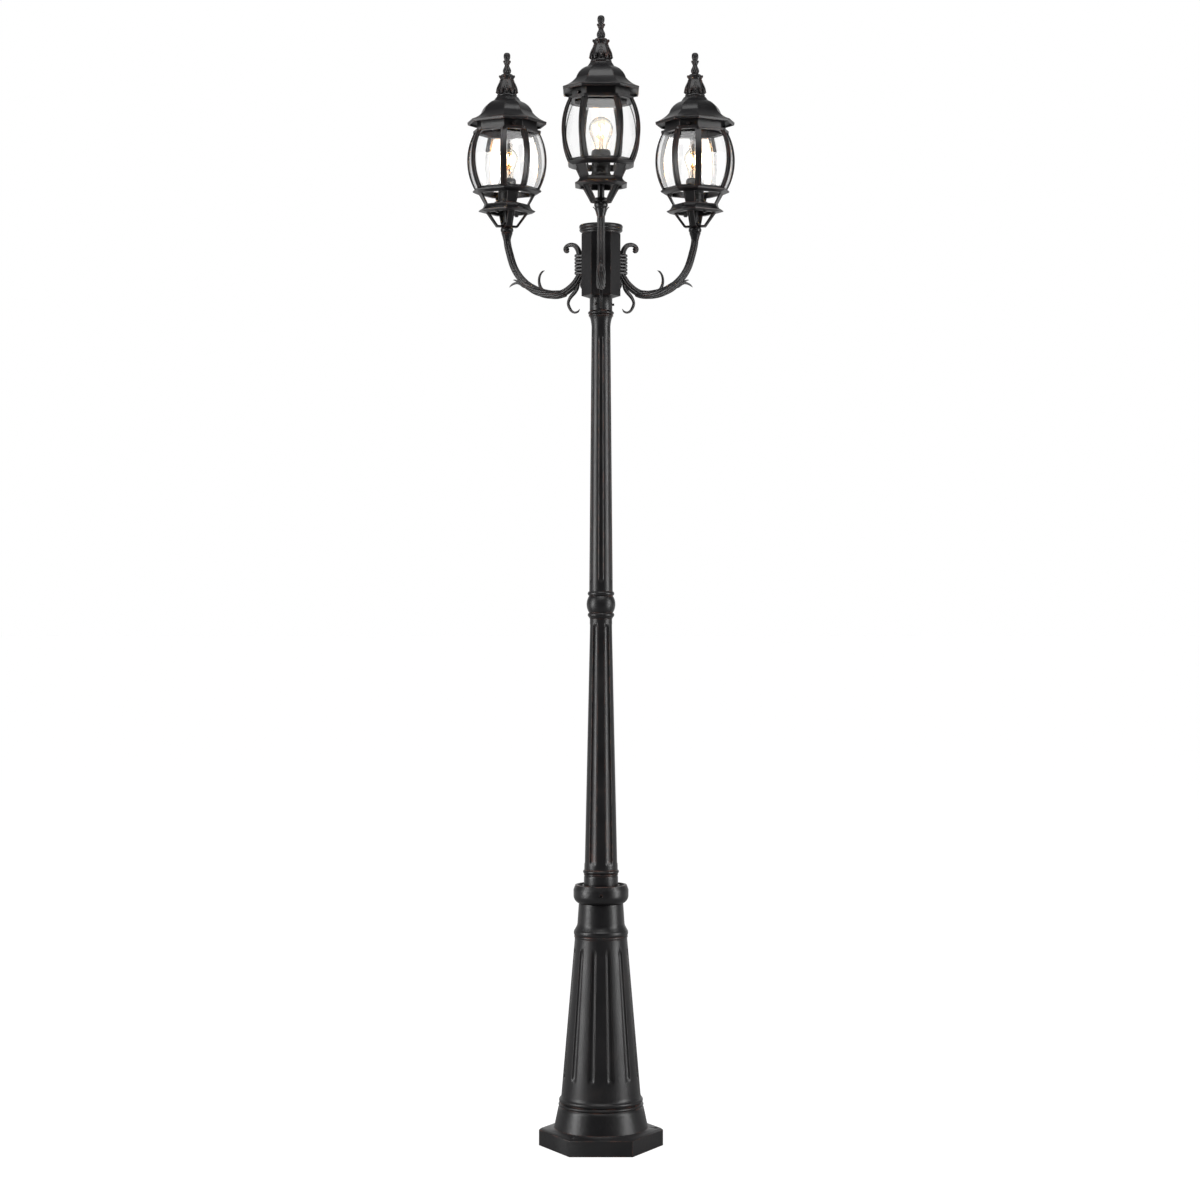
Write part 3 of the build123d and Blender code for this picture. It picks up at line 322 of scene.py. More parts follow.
def reeded(angle, count, depth):
    """Cut that leaves rounded reeds: none on their crowns, the whole depth in the grooves."""
    return depth * (1 - abs(math.sin(count * angle / 2)) ** 0.7)


def turned(made, profile, steps, depth=None, place=None):
    """Add a body turned round Z from (radius, height) points, and place it.

    depth(angle, height, radius) gives how deep each point off the axis is carved.
    """
    chain = [made.verts.new((max(r, 0), 0, z)) for r, z in profile]
    edges = [made.edges.new(pair) for pair in zip(chain, chain[1:])]
    old = set(made.verts) - set(chain)
    bmesh.ops.spin(
        made,
        geom=chain + edges,
        cent=(0, 0, 0),
        axis=(0, 0, 1),
        angle=math.tau,
        steps=steps,
        use_merge=True,
    )
    ours = [v for v in made.verts if v not in old]
    bmesh.ops.remove_doubles(made, verts=ours, dist=1e-4)
    ours = [v for v in made.verts if v not in old]
    for v in ours:
        reach = math.hypot(v.co.x, v.co.y)
        if depth and reach > 0.5:
            share = 1 - depth(math.atan2(v.co.y, v.co.x), v.co.z, reach) / reach
            v.co = (v.co.x * share, v.co.y * share, v.co.z)
    if place:
        bmesh.ops.transform(made, matrix=place, verts=ours)
    bmesh.ops.recalc_face_normals(made, faces=list({f for v in ours for f in v.link_faces}))


def swept(made, course, reeds, depth, segments, twist=0.0, flat=1.0, place=None):
    """Add a closed rod in the arm's plane along (reach, height, radius) points.

    Its section is round or flattened, with reeds between grooves whose depth is a share of its
    radius, and twists by an angle from end to end.
    """
    ring = bmesh.ops.create_circle(made, cap_ends=False, segments=segments, radius=1)["verts"]
    for v in ring:
        angle = math.atan2(v.co.y, v.co.x)
        v.co *= 1 - reeded(angle, reeds, depth)
        v.co.y *= flat
    edges = list({e for v in ring for e in v.link_edges})
    ends = list(edges)
    ours = set(ring)
    last = Matrix.Identity(4)
    for i, (x, z, size) in enumerate(course):
        # the ring's axes: out of the bend, across it and along it
        before, after = course[max(i - 1, 0)], course[min(i + 1, len(course) - 1)]
        along = Vector((after[0] - before[0], 0, after[1] - before[1])).normalized()
        side = Vector((0, 1, 0))
        here = Matrix((side.cross(along), side, along)).transposed().to_4x4()
        here = Matrix.Translation((x, 0, z)) @ here @ Matrix.Scale(size, 4)
        here = here @ Matrix.Rotation(twist * i / (len(course) - 1), 4, "Z")
        if i:
            grown = bmesh.ops.extrude_edge_only(made, edges=edges)["geom"]
            ring = [g for g in grown if isinstance(g, bmesh.types.BMVert)]
            fresh = set(ring)
            grown_edges = [g for g in grown if isinstance(g, bmesh.types.BMEdge)]
            edges = [e for e in grown_edges if set(e.verts) <= fresh]
            ours |= fresh
        bmesh.ops.transform(made, matrix=here @ last.inverted(), verts=ring)
        last = here
    if place:
        bmesh.ops.transform(made, matrix=place, verts=list(ours))
    bmesh.ops.holes_fill(made, edges=ends + edges, sides=0)
    bmesh.ops.recalc_face_normals(made, faces=list({f for v in ours for f in v.link_faces}))


def leaf(made, midrib, width, wall, turn, notches, hollow, place, rib=0.5):
    """Add a cast leaf that wraps round Z: its midrib runs through (radius, height) points.

    It is notched along its sides, raised by rib at its midrib and sunk by hollow at its sides.
    """
    line = smooth_line(midrib, 4)
    rows = len(line) - 1
    sheet = bmesh.ops.create_grid(made, x_segments=10, y_segments=rows, size=1)["verts"]
    for v in sheet:
        across, t = v.co.x, (v.co.y + 1) / 2
        r, z = line[round(t * rows)]
        # two thirds as wide at its root as in its middle, and pointed at its tip
        spread = math.sin(math.pi * min(1.0, 0.12 + 0.88 * t) ** 0.8) ** 0.7
        spread *= 1 - 0.22 * abs(math.sin(notches * math.pi * t))
        r += rib * (1 - abs(across)) ** 3 - hollow * across * across * spread
        angle = turn + across * width / 2 * spread / max(r, 1)
        v.co = (r * math.cos(angle), r * math.sin(angle), z)
    faces = list({f for v in sheet for f in v.link_faces})
    bmesh.ops.recalc_face_normals(made, faces=faces)
    grown = bmesh.ops.solidify(made, geom=faces, thickness=wall)["geom"]
    ours = set(sheet) | {g for g in grown if isinstance(g, bmesh.types.BMVert)}
    bmesh.ops.transform(made, matrix=place, verts=list(ours))
    bmesh.ops.recalc_face_normals(made, faces=list({f for v in ours for f in v.link_faces}))


def wire(made, points, radius, sides=2):
    """Add a round wire or bead along (x, y, z) points."""
    curve = bpy.data.curves.new("wire", "CURVE")
    curve.dimensions = "3D"
    curve.bevel_depth = radius
    curve.bevel_resolution = sides
    curve.use_fill_caps = True
    spline = curve.splines.new("POLY")
    spline.points.add(len(points) - 1)
    for point, where in zip(spline.points, points):
        point.co = (*where, 1)
    holder = bpy.data.objects.new("wire", curve)
    mesh = bpy.data.meshes.new_from_object(holder)
    made.from_mesh(mesh)
    bpy.data.objects.remove(holder)
    bpy.data.curves.remove(curve)
    bpy.data.meshes.remove(mesh)


def dressed(mesh, coating, body, replaced=(), sharp=32):
    """Shade and coat a finished mesh, tie it to its body and hide the nodes it stands for."""
    mesh.shade_smooth()
    mesh.set_sharp_from_angle(angle=math.radians(sharp))
    mesh.materials.clear()
    mesh.materials.append(coating)
    piece = bpy.data.objects.new(mesh.name, mesh)
    scene.collection.objects.link(piece)
    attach(piece, body)
    if replaced:
        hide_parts(*replaced)


def on_each_arm(made, name, slot, body="post", replaced=(), coating=None, sharp=32):
    """Turn a copy of a head's piece to each arm and bring it to metres.

    {} in a body's or a node's name stands for the head.
    """
    for head, angle in HEADS.items():
        turned_copy = made.copy()
        place = Matrix.Rotation(math.radians(angle), 4, "Z") @ Matrix.Scale(MM, 4)
        bmesh.ops.transform(turned_copy, matrix=place, verts=turned_copy.verts)
        mesh = bpy.data.meshes.new(f"{head}_{name}")
        turned_copy.to_mesh(mesh)
        turned_copy.free()
        dressed(
            mesh,
            coating or FINISHES[slot],
            body.format(head),
            [node_name.format(head) for node_name in replaced],
            sharp,
        )
    made.free()


def merged(name):
    """Copy of a node's mesh with its triangles joined."""
    made = bmesh.new()
    made.from_mesh(frame["nodes"][name].data)
    bmesh.ops.remove_doubles(made, verts=made.verts, dist=1e-6)
    return made


def smoothed(name, coating, sharp):
    """Smooth-shaded copy of a node that stands for it, with a roof's shoulder drawn in."""
    mesh = bpy.data.meshes.new(name + "_finished")
    made = merged(name)
    if name.endswith("_roof"):
        angle = math.radians(HEADS[name.removesuffix("_roof")])
        axis = Vector((math.cos(angle), math.sin(angle), 0)) * ARM_REACH * MM
        bore = 10 * MM  # the finial's hole keeps its size
        high = [v for v in made.verts if v.co.z > ROOF_SHOULDER * MM]
        bmesh.ops.scale(
            made,
            vec=(SHOULDER_DRAWN_IN, SHOULDER_DRAWN_IN, 1),
            space=Matrix.Translation(-axis),
            verts=[v for v in high if (v.co - axis).xy.length > bore],
        )
    made.to_mesh(mesh)
    made.free()
    dressed(mesh, coating, body_of[name], [name], sharp)


over_lantern = Matrix.Translation((ARM_REACH, 0, 0))

# ---------------------------------------------------------------- fluted castings of the post
FLUTE_END = 7.0  # length of a flute's rounded end
SKIN_STEP = 4.0  # furthest that two points of a fluted skin are apart along the post
HALF_ROUND = [math.radians(a) for a in range(-75, 90, 15)]


def dense(profile, step):
    """Divide a profile's runs so that no point is further than a step from the next."""
    points = [profile[0]]
    for a, b in zip(profile, profile[1:]):
        parts = max(1, math.ceil(math.dist(a, b) / step))
        for i in range(1, parts + 1):
            points.append((a[0] + (b[0] - a[0]) * i / parts, a[1] + (b[1] - a[1]) * i / parts))
    return points


def flutes(count, first, half, foot, top, margins, depth):
    """Depths of round-ended flutes in a cone between two (radius, height) points.

    first is the direction of one flute and half its half width, both in degrees. The margins are
    the plain lengths left below and above.
    """
    low, high = foot[1] + margins[0] + FLUTE_END, top[1] - margins[1] - FLUTE_END

    def cut(angle, z, reach):
        skin = foot[0] + (top[0] - foot[0]) * (z - foot[1]) / (top[1] - foot[1])
        off = (math.degrees(angle) - first + 180 / count) % (360 / count) - 180 / count
        beyond = max(low - z, z - high, 0) / FLUTE_END
        inside = max(1 - (off / half) ** 2 - beyond**2, 0)
        # the bore, well inside the skin, stays plain
        return depth * math.sqrt(inside) if abs(reach - skin) < 1 else 0

    return cut


def bead(radius, foot, top, swell):
    """Half-round moulding between two heights."""
    middle, half = (foot + top) / 2, (top - foot) / 2
    return [(radius + swell * math.cos(a), middle + half * math.sin(a)) for a in HALF_ROUND]


def post_casting(name, outside, inside, cut, steps):
    """Turned and fluted casting, its outside dense enough for the flutes and its bore plain.

    The base's six-sided foot is cut from its node, and closed where the turned skirt starts.
    """
    made = merged(name) if name == "base" else bmesh.new()
    if name == "base":
        cut_foot = bmesh.ops.bisect_plane(
            made,
            geom=made.verts[:] + made.edges[:] + made.faces[:],
            plane_co=(0, 0, outside[0][1] * MM),
            plane_no=(0, 0, 1),
            clear_outer=True,
        )["geom_cut"]
        rims = [g for g in cut_foot if isinstance(g, bmesh.types.BMEdge)]
        bmesh.ops.bridge_loops(made, edges=rims)
        bmesh.ops.scale(made, vec=(1 / MM, 1 / MM, 1 / MM), verts=made.verts)
    turned(made, dense(outside, SKIN_STEP) + inside[::-1] + [outside[0]], steps, depth=cut)
    bmesh.ops.scale(made, vec=(MM, MM, MM), verts=made.verts)
    mesh = bpy.data.meshes.new(name + "_finished")
    made.to_mesh(mesh)
    made.free()
    dressed(mesh, pole_paint, "post", [name], 35)


# each casting's outside and bore are (radius, height) points, from its foot up
post_casting(
    "base",
    [(100.4, 40), (97.4, 54), (91.6, 82), (89.4, 84.5)]
    + [*bead(87.6, 86, 93, 3.4), *bead(86.0, 94, 103.5, 3.8), (85.9, 106), (84.9, 108)]
    + [(56.4, 440), (56.2, 444), *bead(55.6, 445, 450, 1.8), *bead(55.6, 450, 462, 2.6)]
    + [(55.2, 464), (52.4, 469), (50.8, 473), (50.4, 477), (47.7, 517), (46.9, 519.4), (46, 520)],
    [(84.57, 40), (80.4, 88), (78.4, 108), (49.9, 440), (32.5, 484), (32.5, 494)]
    + [(36.8, 494), (36.8, 520)],
    flutes(12, 15, 5.0, (84.9, 108), (56.4, 440), (40, 18), 3.6),
    360,
)
post_casting(
    "lower_pole",
    [(32.5, 494), (36.5, 494), (36.5, 575), (35.6, 577)]
    + [*bead(34.6, 578, 582, 2.4), *bead(34.6, 582, 590, 3.9), (35.9, 591), (23.8, 1127)],
    [(32.5, 576), (19.8, 1087), (19.8, 1127)],
    flutes(6, 0, 13.5, (35.9, 591), (23.8, 1127), (12, 12), 3.2),
    240,
)
post_casting(
    "upper_pole",
    [(21.2, 1185), (25.2, 1185), (20.2, 1752), (20.9, 1758), (21.9, 1764), (23.2, 1769)]
    + [(24.6, 1772), *bead(23.6, 1772.5, 1777, 2.8), *bead(24.2, 1777, 1784, 3.6), (24.8, 1785)]
    + [(19.4, 1785), (19.4, 1811)],
    [(21.2, 1225), (16.2, 1752), (15.4, 1785), (15.4, 1811)],
    flutes(6, 30, 13.5, (25.2, 1185), (20.2, 1752), (20, 20), 2.5),
    240,
)

# ---------------------------------------------------------------- arm casting
# courses of rods: reach from the post's axis, height and radius
ARM_COURSE = [
    (47.0, 1872.0, 7.6),
    (53.0, 1862.5, 8.0),
    (67.1, 1845.1, 8.2),
    (90.0, 1830.6, 8.2),
    (115.6, 1826.3, 8.3),
    (143.0, 1831.2, 8.3),
    (170.5, 1842.4, 8.3),
    (200.0, 1865.4, 8.2),
    (219.0, 1891.7, 8.2),
    (231.3, 1926.0, 8.1),
    (236.5, 1948.0, 8.0),
    (237.5, 1969.0, 7.8),
]
# hooks and tendrils on the arm, from root to tip
HOOKS = {
    "lower hook": [
        (56.0, 1849.0, 3.0),
        (58.0, 1838.5, 3.8),
        (64.6, 1829.5, 4.4),
        (73.4, 1821.4, 4.3),
        (79.3, 1813.5, 3.6),
        (81.5, 1805.9, 3.3),
        (79.3, 1798.1, 3.4),
        (73.4, 1789.3, 3.0),
        (65.4, 1785.3, 2.6),
        (57.3, 1786.9, 2.1),
        (52.9, 1792.3, 0.5),
    ],
    "inner hook": [
        (50.0, 1868.0, 3.0),
        (48.6, 1853.2, 3.0),
        (49.6, 1844.1, 2.8),
        (47.5, 1837.8, 2.3),
        (44.0, 1835.2, 1.8),
        (40.8, 1837.7, 0.4),
    ],
    "upper tendril": [
        (122.0, 1828.0, 3.2),
        (133.7, 1832.8, 3.8),
        (147.3, 1839.4, 4.0),
        (152.6, 1847.2, 3.6),
        (155.1, 1857.2, 3.1),
        (154.5, 1865.9, 2.8),
        (151.4, 1873.5, 2.4),
        (146.4, 1878.6, 1.9),
        (140.9, 1880.6, 0.4),
    ],
    "tendril thorn": [
        (146.0, 1836.0, 3.0),
        (155.0, 1839.0, 2.6),
        (161.5, 1844.0, 1.6),
        (164.0, 1849.5, 0.3),
    ],
    "outer leaf": [
        (184.0, 1848.0, 3.4),
        (193.0, 1849.5, 4.2),
        (202.0, 1855.2, 3.9),
        (210.3, 1857.9, 3.2),
        (218.5, 1857.1, 2.6),
        (225.8, 1854.0, 1.9),
        (231.4, 1849.7, 0.4),
    ],
    "leaf fork": [
        (204.0, 1857.0, 3.0),
        (210.5, 1861.5, 2.6),
        (217.5, 1864.5, 1.6),
        (222.0, 1864.8, 0.3),
    ],
}
SCROLL = [
    (53.5, 1900.0, 6.4),
    (54.2, 1911.0, 6.3),
    (57.5, 1921.0, 6.0),
    (65.0, 1929.2, 5.5),
    (74.5, 1931.8, 5.0),
    (83.8, 1930.0, 4.5),
    (89.2, 1925.0, 4.0),
    (88.6, 1919.2, 3.6),
    (84.4, 1917.0, 3.3),
    (81.2, 1919.6, 3.1),
]
SCROLL_EYE = (84.0, 0, 1922.6)
# half section of the cup at the arm's end, round the lantern's axis
CUP = [
    (0, 1950),
    (7.2, 1950),
    (8.6, 1955),
    (10.0, 1961),
    (11.8, 1966),
    (12.4, 1968),
    (11.7, 1969.4),
    (12.8, 1970.6),
    (13.9, 1973),
    (14.1, 1975.6),
    (13.7, 1978),
    (12.6, 1979.6),
    (12.4, 1981),
    (7.15, 1981),
    (7.15, 1968),
    (0, 1968),
]
casting = bmesh.new()
swept(casting, smooth_line(ARM_COURSE, 7), reeds=6, depth=0.24, segments=72)
# a leaf wraps the lowest third of the arm, its veins slanting round it
wrap = []
for i, (reach, height) in enumerate(arc((108.0, 1956.0), 129.6, -99, -49, 40)):
    wrap.append((reach, height, 9.5 - 2.4 * abs(2 * i / 40 - 1) ** 6))  # it thins at both ends
swept(casting, wrap, reeds=8, depth=0.16, twist=-2.6, segments=80)
for hook in HOOKS.values():
    swept(casting, smooth_line(hook, 5), reeds=4, depth=0.2, flat=0.9, segments=24)
swept(casting, smooth_line(SCROLL, 6), reeds=4, depth=0.2, segments=32)
eye = [(0, -4.4), *((4.6 * math.cos(a), 4.4 * math.sin(a)) for a in HALF_ROUND), (0, 4.4)]
turned(casting, eye, 24, place=Matrix.Translation(SCROLL_EYE))
# bracket against the hub: six bands, rounded on every edge but the upright ones against the hub
BAND = (25.8, 17.4, 6.9)
for i in range(6):
    middle = Matrix.Translation((HUB_SIDE + BAND[0] / 2, 0, 1868.9 + 7.45 * i))
    stretched = middle @ Matrix.Diagonal((*BAND, 1))
    band = bmesh.ops.create_cube(casting, size=1, matrix=stretched)["verts"]
    edges = list({e for v in band for e in v.link_edges})
    bmesh.ops.bevel(
        casting,
        geom=[
            e
            for e in edges
            if all(v.co.x > HUB_SIDE + 1 for v in e.verts)
            or abs(e.verts[0].co.z - e.verts[1].co.z) < 0.1
        ],
        offset=2.5,
        offset_type="OFFSET",
        segments=4,
        profile=0.5,
        affect="EDGES",
        material=-1,
    )
turned(casting, CUP, 48, place=over_lantern)
for side in (-1, 1):  # a leaf tip at each side of the cup
    leaf(
        casting,
        [(8.4, 1953), (9.6, 1958), (11.2, 1963), (13.4, 1967.5), (16.8, 1971)],
        12.5,
        1.2,
        side * math.tau / 4,
        notches=2,
        hollow=0.2,
        place=over_lantern,
    )
on_each_arm(casting, "arm_casting", "post_paint", replaced=["{}_arm"], sharp=38)

# ---------------------------------------------------------------- finial
# half section: foot, bell, waist, pear and knob
FINIAL = [
    (20.4, 2266),
    (22.0, 2268),
    (21.4, 2270.6),
    (19.4, 2272.2),
    (18.8, 2273.6),
    (19.8, 2276.4),
    (20.2, 2281),
    (19.4, 2286),
    (17.4, 2291),
    (15.0, 2296),
    (13.2, 2300.5),
    (12.4, 2304),
    (12.6, 2307),
    (13.6, 2311),
    (13.2, 2314),
    (10.0, 2316),
    (7.2, 2317.4),
    (8.6, 2319.6),
    (9.3, 2322.8),
    (8.6, 2326.4),
    (7.0, 2330),
    (5.6, 2333),
    (4.9, 2336),
    (5.2, 2340),
    (6.4, 2343.4),
    (6.6, 2345),
    (5.4, 2346.2),
    (5.8, 2347.6),
    (6.9, 2350.4),
    (7.4, 2354),
    (7.2, 2358),
    (6.0, 2361),
    (3.4, 2362.7),
    (0, 2363),
]
# curls from root to tip: at the bell's foot, round the crown and under the knob
FOOT_CURL = [
    (18.6, 2284, 1.4),
    (20.8, 2280.5, 2.0),
    (21.8, 2277, 2.1),
    (21.4, 2274.4, 1.7),
    (19.8, 2274, 1.1),
]
CROWN_CURL = [
    (11.4, 2301, 2.0),
    (12.8, 2306, 2.6),
    (14.2, 2310.4, 2.7),
    (15.6, 2312.2, 2.2),
    (16.2, 2310, 1.7),
    (15.2, 2308.4, 1.1),
]
COLLAR_CURL = [
    (4.6, 2337, 1.4),
    (5.8, 2341, 1.8),
    (7.4, 2344, 1.7),
    (8.4, 2343.6, 1.2),
    (8.2, 2342.4, 0.7),
]
# midrib of the acanthus leaf laid on the bell, from the waist to its foot
BELL_LEAF = [
    (13.4, 2303),
    (14.4, 2299),
    (16.4, 2295),
    (18.8, 2290),
    (20.5, 2285),
    (21.2, 2280.5),
    (21.0, 2277),
]


def finial_reeds(angle, z, reach):
    """Gadroons cut in the bell, the pear and the knob of the finial."""
    bell = between(z, 2275, 2292, 3) * reeded(angle, 12, 1.3)
    pear = between(z, 2318.5, 2332, 2) * reeded(angle, 8, 1.5)
    knob = between(z, 2348.5, 2360, 1.5) * reeded(angle, 6, 1.5)
    return bell + pear + knob


ornament = bmesh.new()
turned(
    ornament,
    [(0, 2248), (4, 2248), (4, 2266)] + smooth_line(FINIAL, 3),
    96,
    depth=finial_reeds,
    place=over_lantern,
)
for i in range(6):
    leaf(
        ornament,
        BELL_LEAF,
        15.0,
        1.2,
        math.tau * (i + 0.5) / 6,
        notches=4,
        rib=1.0,
        hollow=0.6,
        place=over_lantern,
    )
for count, curl, first in ((12, FOOT_CURL, 0), (6, CROWN_CURL, 0.5), (6, COLLAR_CURL, 0)):
    for i in range(count):
        swept(
            ornament,
            smooth_line(curl, 3),
            reeds=4,
            depth=0.15,
            flat=1.25,
            segments=12,
            place=over_lantern @ Matrix.Rotation(math.tau * (i + first) / count, 4, "Z"),
        )
on_each_arm(ornament, "finial_casting", "post_paint", "{}_roof_unit", ["{}_finial"], sharp=40)

# ---------------------------------------------------------------- thumb screws under the eaves
# half section of a screw: radius, and distance out from the lantern's axis
THUMB_SCREW = [
    (0, 59.2),
    (1.9, 59.2),
    (1.9, 62.7),
    (2.6, 62.8),
    (3.3, 63.4),
    (3.6, 64),
    (3.6, 67.6),
    (3.1, 68.4),
    (2.2, 68.6),
    (1.8, 68.2),
    (0, 68.2),
]
SCREW_HEIGHT = 2197.5


def knurl(angle, z, reach):
    """Grooves round a thumb screw's head."""
    return between(z, 64, 67.6, 0.3) * reeded(angle, 16, 0.35)


screws = bmesh.new()
for angle in (-135, -45, 135):  # directions of a roof's three screws, from its arm's
    outward = Matrix.Rotation(math.radians(angle), 4, "Z")
    outward @= Matrix.Rotation(math.radians(90), 4, "Y")
    under_eaves = Matrix.Translation((0, 0, SCREW_HEIGHT)) @ over_lantern @ outward
    turned(screws, THUMB_SCREW, 64, depth=knurl, place=under_eaves)
on_each_arm(
    screws,
    "thumb_screws",
    "post_paint",
    "{}_roof_unit",
    ["{}_roof_screws"],
    coating=steel_paint,
    sharp=40,
)

# ---------------------------------------------------------------- beads of the lantern's foot
beads = bmesh.new()
for quarter in range(4):
    turn = over_lantern @ Matrix.Rotation(math.radians(45 + 90 * quarter), 4, "Z")
    rods = []
    for way in (-1, 1):
        # two beads down each strut, with the groove between them
        rods.append(((22.2, 4.6 * way, 1983), (44.0, 5.0 * way, 2012.6), 2.3))
        # raised border of the panel over the lower ring: its sides, and then its foot and top
        rods.append(((47.0, 9.2 * way, 2030.6), (59.6, 11.4 * way, 2053.4), 1.5))
    rods.append(((47.4, -9.2, 2031.8), (47.4, 9.2, 2031.8), 1.3))
    rods.append(((59.0, -11.2, 2052.4), (59.0, 11.2, 2052.4), 1.3))
    for start, end, radius in rods:
        wire(beads, [turn @ Vector(start), turn @ Vector(end)], radius, sides=4)
on_each_arm(beads, "foot_beads", "post_paint", sharp=50)

# ---------------------------------------------------------------- lamp holder
# half section, outside first, round the nipple's hole and the bore that the cap screws into
HOLDER = [
    (7.15, 2032),
    (19.2, 2032),
    (20.6, 2033),
    (21.0, 2035),
    (20.4, 2038),
    (19.2, 2040),
    (19.0, 2041),
    (19.0, 2049),
    (19.6, 2049.6),
    (19.6, 2052.4),
    (19.0, 2053),
    (19.0, 2076),
    (19.6, 2076.6),
    (19.9, 2080),
    (19.4, 2083.6),
    (18.0, 2086.6),
    (16.2, 2088),
    (14.3, 2088),
    (14.3, 2057),
    (4, 2057),
    (4, 2062),
    (0, 2062),
    (0, 2037.3),
    (7.15, 2037.3),
    (7.15, 2032),
]


def grip_ribs(angle, z, reach):
    """Upright grip ribs on the holder's outside."""
    return between(z, 2055.5, 2074, 0.5) * reeded(angle, 24, 0.5) if reach > 18 else 0


holder = bmesh.new()
turned(holder, HOLDER, 96, depth=grip_ribs, place=over_lantern)
on_each_arm(holder, "lamp_holder", "black_socket", replaced=["{}_socket"], sharp=35)

# ---------------------------------------------------------------- bulb
THREAD_PITCH = 3.6
THREAD_DEPTH = 1.1


def rolled_thread(angle, z, reach):
    """Rounded thread of the cap, which climbs once round in each pitch."""
    wave = (1 - math.cos(math.tau * z / THREAD_PITCH - angle)) / 2
    return between(z, 2070, 2084.5, 1) * THREAD_DEPTH * wave if reach > 12.6 else 0


cap = bmesh.new()
turned(
    cap,
    [(0, BULB_FOOT), (3.6, BULB_FOOT), (4.6, 2063), (5.2, 2063.6), (11.0, 2067), (12.6, 2068.2)]
    + [(13.0, 2069 + i / 4) for i in range(69)]
    + [(12.9, 2087.3), (12.3, 2087.3), (12.3, 2079.3), (0, 2079.3)],
    48,
    depth=rolled_thread,
    place=over_lantern,
)
on_each_arm(cap, "threaded_cap", "nickel_cap", "{}_bulb_foot", ["{}_bulb_cap"])


GLOBE_MIDDLE = 2130.5
GLOBE_RADIUS = 24.5
GLASS_WALL = 0.8


def bulb_wall(inset):
    """Outside or inside of the bulb from its neck to its top, as (radius, height) points."""
    neck = [
        (12.0, 2079.6),
        (12.0, 2086.0),
        (12.2, 2091.0),
        (13.1, 2096.0),
        (14.7, 2102.0),
        (17.2, 2109.0),
        (20.2, 2115.6),
    ]
    neck = [(r - inset, z) for r, z in neck]
    crown = arc((0, GLOBE_MIDDLE), GLOBE_RADIUS - inset, -26, 90, 12)
    return smooth_line(neck + crown, 2)


globe = bmesh.new()
turned(globe, bulb_wall(0)[::-1] + bulb_wall(GLASS_WALL), 64, place=over_lantern)
on_each_arm(globe, "blown_globe", "bulb_glass", "{}_bulb_body", ["{}_bulb_globe"], sharp=60)

# half section of the glass stem, with its flare and its pinch
STEM = [
    (0, 2080),
    (10.4, 2080),
    (10.4, 2081),
    (8.0, 2084),
    (5.2, 2089),
    (4.0, 2094),
    (3.6, 2101),
    (3.0, 2106),
    (3.6, 2109),
    (3.2, 2111.5),
    (0, 2112.5),
]
stem = bmesh.new()
turned(stem, smooth_line(STEM, 2), 32, place=over_lantern)
on_each_arm(stem, "glass_stem", "bulb_glass", "{}_bulb_body", sharp=60)

# coiled wire that climbs and falls round the stem in 17 runs, between two rings of supports
LOW_RING = (13.5, 2120.0)
HIGH_RING = (17.0, 2137.5)
RUN_TURN = 20  # degrees from one run to the next
coil = bmesh.new()
runs = []
for i in range(17):
    start, end = (LOW_RING, HIGH_RING) if i % 2 else (HIGH_RING, LOW_RING)
    for j in range(7):
        t = j / 7
        r, z = start[0] + (end[0] - start[0]) * t, start[1] + (end[1] - start[1]) * t
        angle = math.radians(RUN_TURN * (i + 0.5) + RUN_TURN * t * t / 2)
        runs.append((ARM_REACH + r * math.cos(angle), r * math.sin(angle), z))
wire(coil, runs, 1.15)
on_each_arm(coil, "glowing_coil", "filament", "{}_bulb_body", ["{}_bulb_filament"], sharp=60)

# wires from the stem's pinch that hold the coil, by turns at its low and its high ring
leads = bmesh.new()
for i in range(8):
    angle = math.radians(45 * i + 30)
    reach, height = (15.2, HIGH_RING[1]) if i % 2 else (13.4, LOW_RING[1])
    course = [(2.6, 2108), (5.6, 2111 + (height - LOW_RING[1]) / 4), (reach, height)]
    bent = []
    for r, z in smooth_line(course, 4):
        bent.append((ARM_REACH + r * math.cos(angle), r * math.sin(angle), z))
    wire(leads, bent, 0.35)
on_each_arm(leads, "support_wires", "nickel_cap", "{}_bulb_body", coating=lead_wire, sharp=60)

# ---------------------------------------------------------------- nodes that keep their shape
COATINGS = {
    "base_collar": pole_paint,
    "pole_coupling": pole_paint,
    "collar_screws": steel_paint,
    "fitter_screws": steel_paint,
}
COATINGS |= {f"{head}_roof": roof_paint for head in HEADS}
for name in sorted(frame["nodes"]):
    if name not in REMADE and name.split("_", 1)[-1] not in REMADE:
        sharp = 30 if name == "arm_bolts" else 12  # a bolt's shank has few facets
        smoothed(name, COATINGS.get(name, FINISHES[slots[name]]), sharp)

# ---------------------------------------------------------------- floor, light and camera
def backdrop_share(tree):
    """Light Path node, and 1 where a ray sees the backdrop straight or through glass."""
    ray = node(tree, "ShaderNodeLightPath")
    seen = maths(tree, "MAXIMUM", ray.outputs["Is Camera Ray"], ray.outputs["Is Transmission Ray"])
    return ray, seen


def place_on_y(tree, coordinates):
    """How far back a point or direction is, from the viewer at -Y to the backdrop at +Y."""
    where = node(tree, "ShaderNodeTexCoord").outputs[coordinates]
    return node(tree, "ShaderNodeSeparateXYZ", links={0: where}).outputs["Y"]


floor_mesh = bpy.data.meshes.new("floor")
made = bmesh.new()
bmesh.ops.create_grid(made, x_segments=1, y_segments=1, size=60)
made.to_mesh(floor_mesh)
made.free()
floor = bpy.data.objects.new("floor", floor_mesh)
scene.collection.objects.link(floor)
floor_paint, tree = new_material("white studio floor")
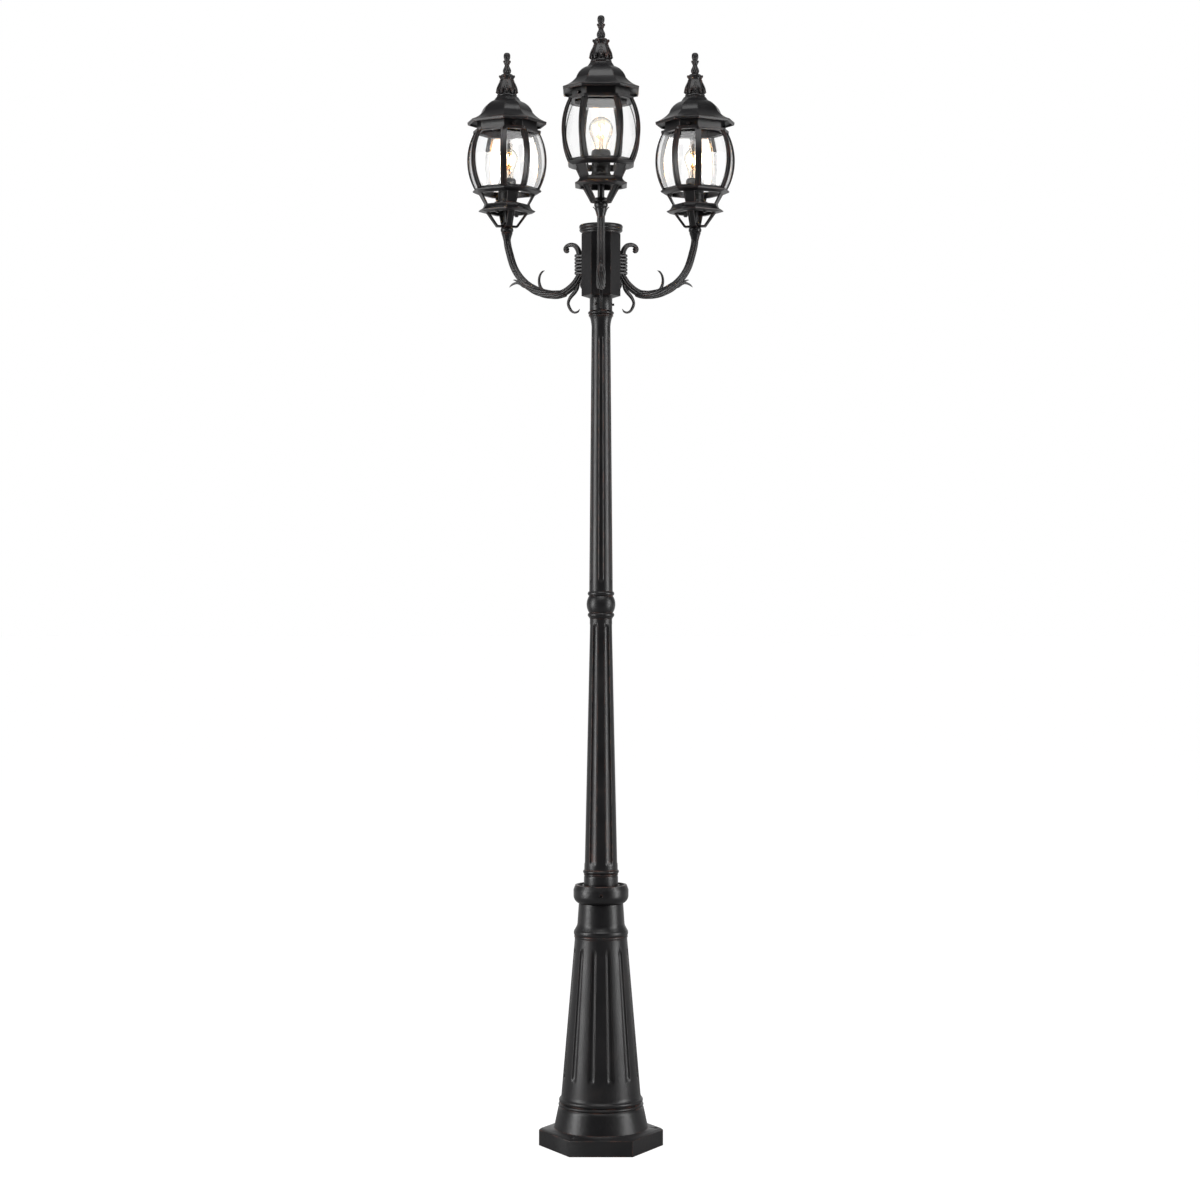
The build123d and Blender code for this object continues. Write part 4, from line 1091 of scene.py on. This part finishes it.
# matte paint that keeps the post's shadow, lifted to white where the camera or gloss sees it
shader = node(tree, "ShaderNodeBsdfPrincipled", Base_Color=linear("#8e8e8e"), Roughness=0.9)
ray, seen = backdrop_share(tree)
# gloss sees it dark in front of the post and paler up to 5 m behind it, as it sees the room
tens_of_metres = maths(tree, "MULTIPLY", place_on_y(tree, "Object"), 0.1)
behind = ramp(tree, tens_of_metres, [(0.02, grey(0)), (0.5, grey(0.8))])
seen = maths(tree, "MAXIMUM", seen, maths(tree, "MULTIPLY", ray.outputs["Is Glossy Ray"], behind))
lift = node(tree, "ShaderNodeEmission", links={"Strength": maths(tree, "MULTIPLY", seen, 0.85)})
both = node(tree, "ShaderNodeAddShader", links={0: shader.outputs[0], 1: lift.outputs[0]})
node(tree, "ShaderNodeOutputMaterial", links={"Surface": both.outputs[0]})
floor_mesh.materials.append(floor_paint)

world = bpy.data.worlds.new("studio")
scene.world = world
world.use_nodes = True
tree = world.node_tree
tree.nodes.clear()
ray, seen = backdrop_share(tree)
# gloss sees the white backdrop behind the post and the dimmer room in front of it
from_front = maths(tree, "ADD", maths(tree, "MULTIPLY", place_on_y(tree, "Generated"), 0.5), 0.5)
room = ramp(
    tree,
    from_front,
    [(0.1, grey(0.04)), (0.6, grey(0.12)), (0.85, grey(0.35)), (1.0, grey(1.0))],
)
soft_light = node(tree, "ShaderNodeBackground", Color=linear("#ffffff"), Strength=0.5)
gloss_light = node(tree, "ShaderNodeBackground", links={"Color": room}, Strength=1.0)
backdrop = node(tree, "ShaderNodeBackground", Color=linear("#ffffff"), Strength=1.0)
unseen = node(
    tree,
    "ShaderNodeMixShader",
    links={0: ray.outputs["Is Glossy Ray"], 1: soft_light.outputs[0], 2: gloss_light.outputs[0]},
)
sky = node(
    tree,
    "ShaderNodeMixShader",
    links={0: seen, 1: unseen.outputs[0], 2: backdrop.outputs[0]},
)
node(tree, "ShaderNodeOutputWorld", links={"Surface": sky.outputs[0]})


def softbox(name, place, aim, size, power):
    """Rectangular lamp of a size in metres and a power in watts, aimed at a point."""
    data = bpy.data.lights.new(name, "AREA")
    data.shape = "RECTANGLE"
    data.size, data.size_y = size
    data.energy = power
    made = bpy.data.objects.new(name, data)
    made.location = place
    made.rotation_euler = (Vector(aim) - Vector(place)).to_track_quat("-Z", "Y").to_euler()
    scene.collection.objects.link(made)


softbox("left softbox", (-3.3, -1.25, 1.4), (0, 0, 1.2), (1.0, 3.2), 95)
softbox("right softbox", (3.3, -1.25, 1.4), (0, 0, 1.2), (1.0, 3.2), 85)
softbox("top softbox", (0, -1.5, 4.2), (0, 0, 1.6), (2.5, 2.0), 50)

camera_data = bpy.data.cameras.new("camera")
camera_data.lens = 75
camera_data.sensor_width = 36
# the frame is shifted by 1 and by 10 of its 1200 pixels
camera_data.shift_x = -1 / 1200
camera_data.shift_y = -10 / 1200
camera = bpy.data.objects.new("camera", camera_data)
camera.location = (0, -5.35, 1.188)  # level with the middle of the post
camera.rotation_euler = (math.radians(90), 0, 0)
scene.collection.objects.link(camera)
scene.camera = camera
scene.view_settings.view_transform = "Standard"
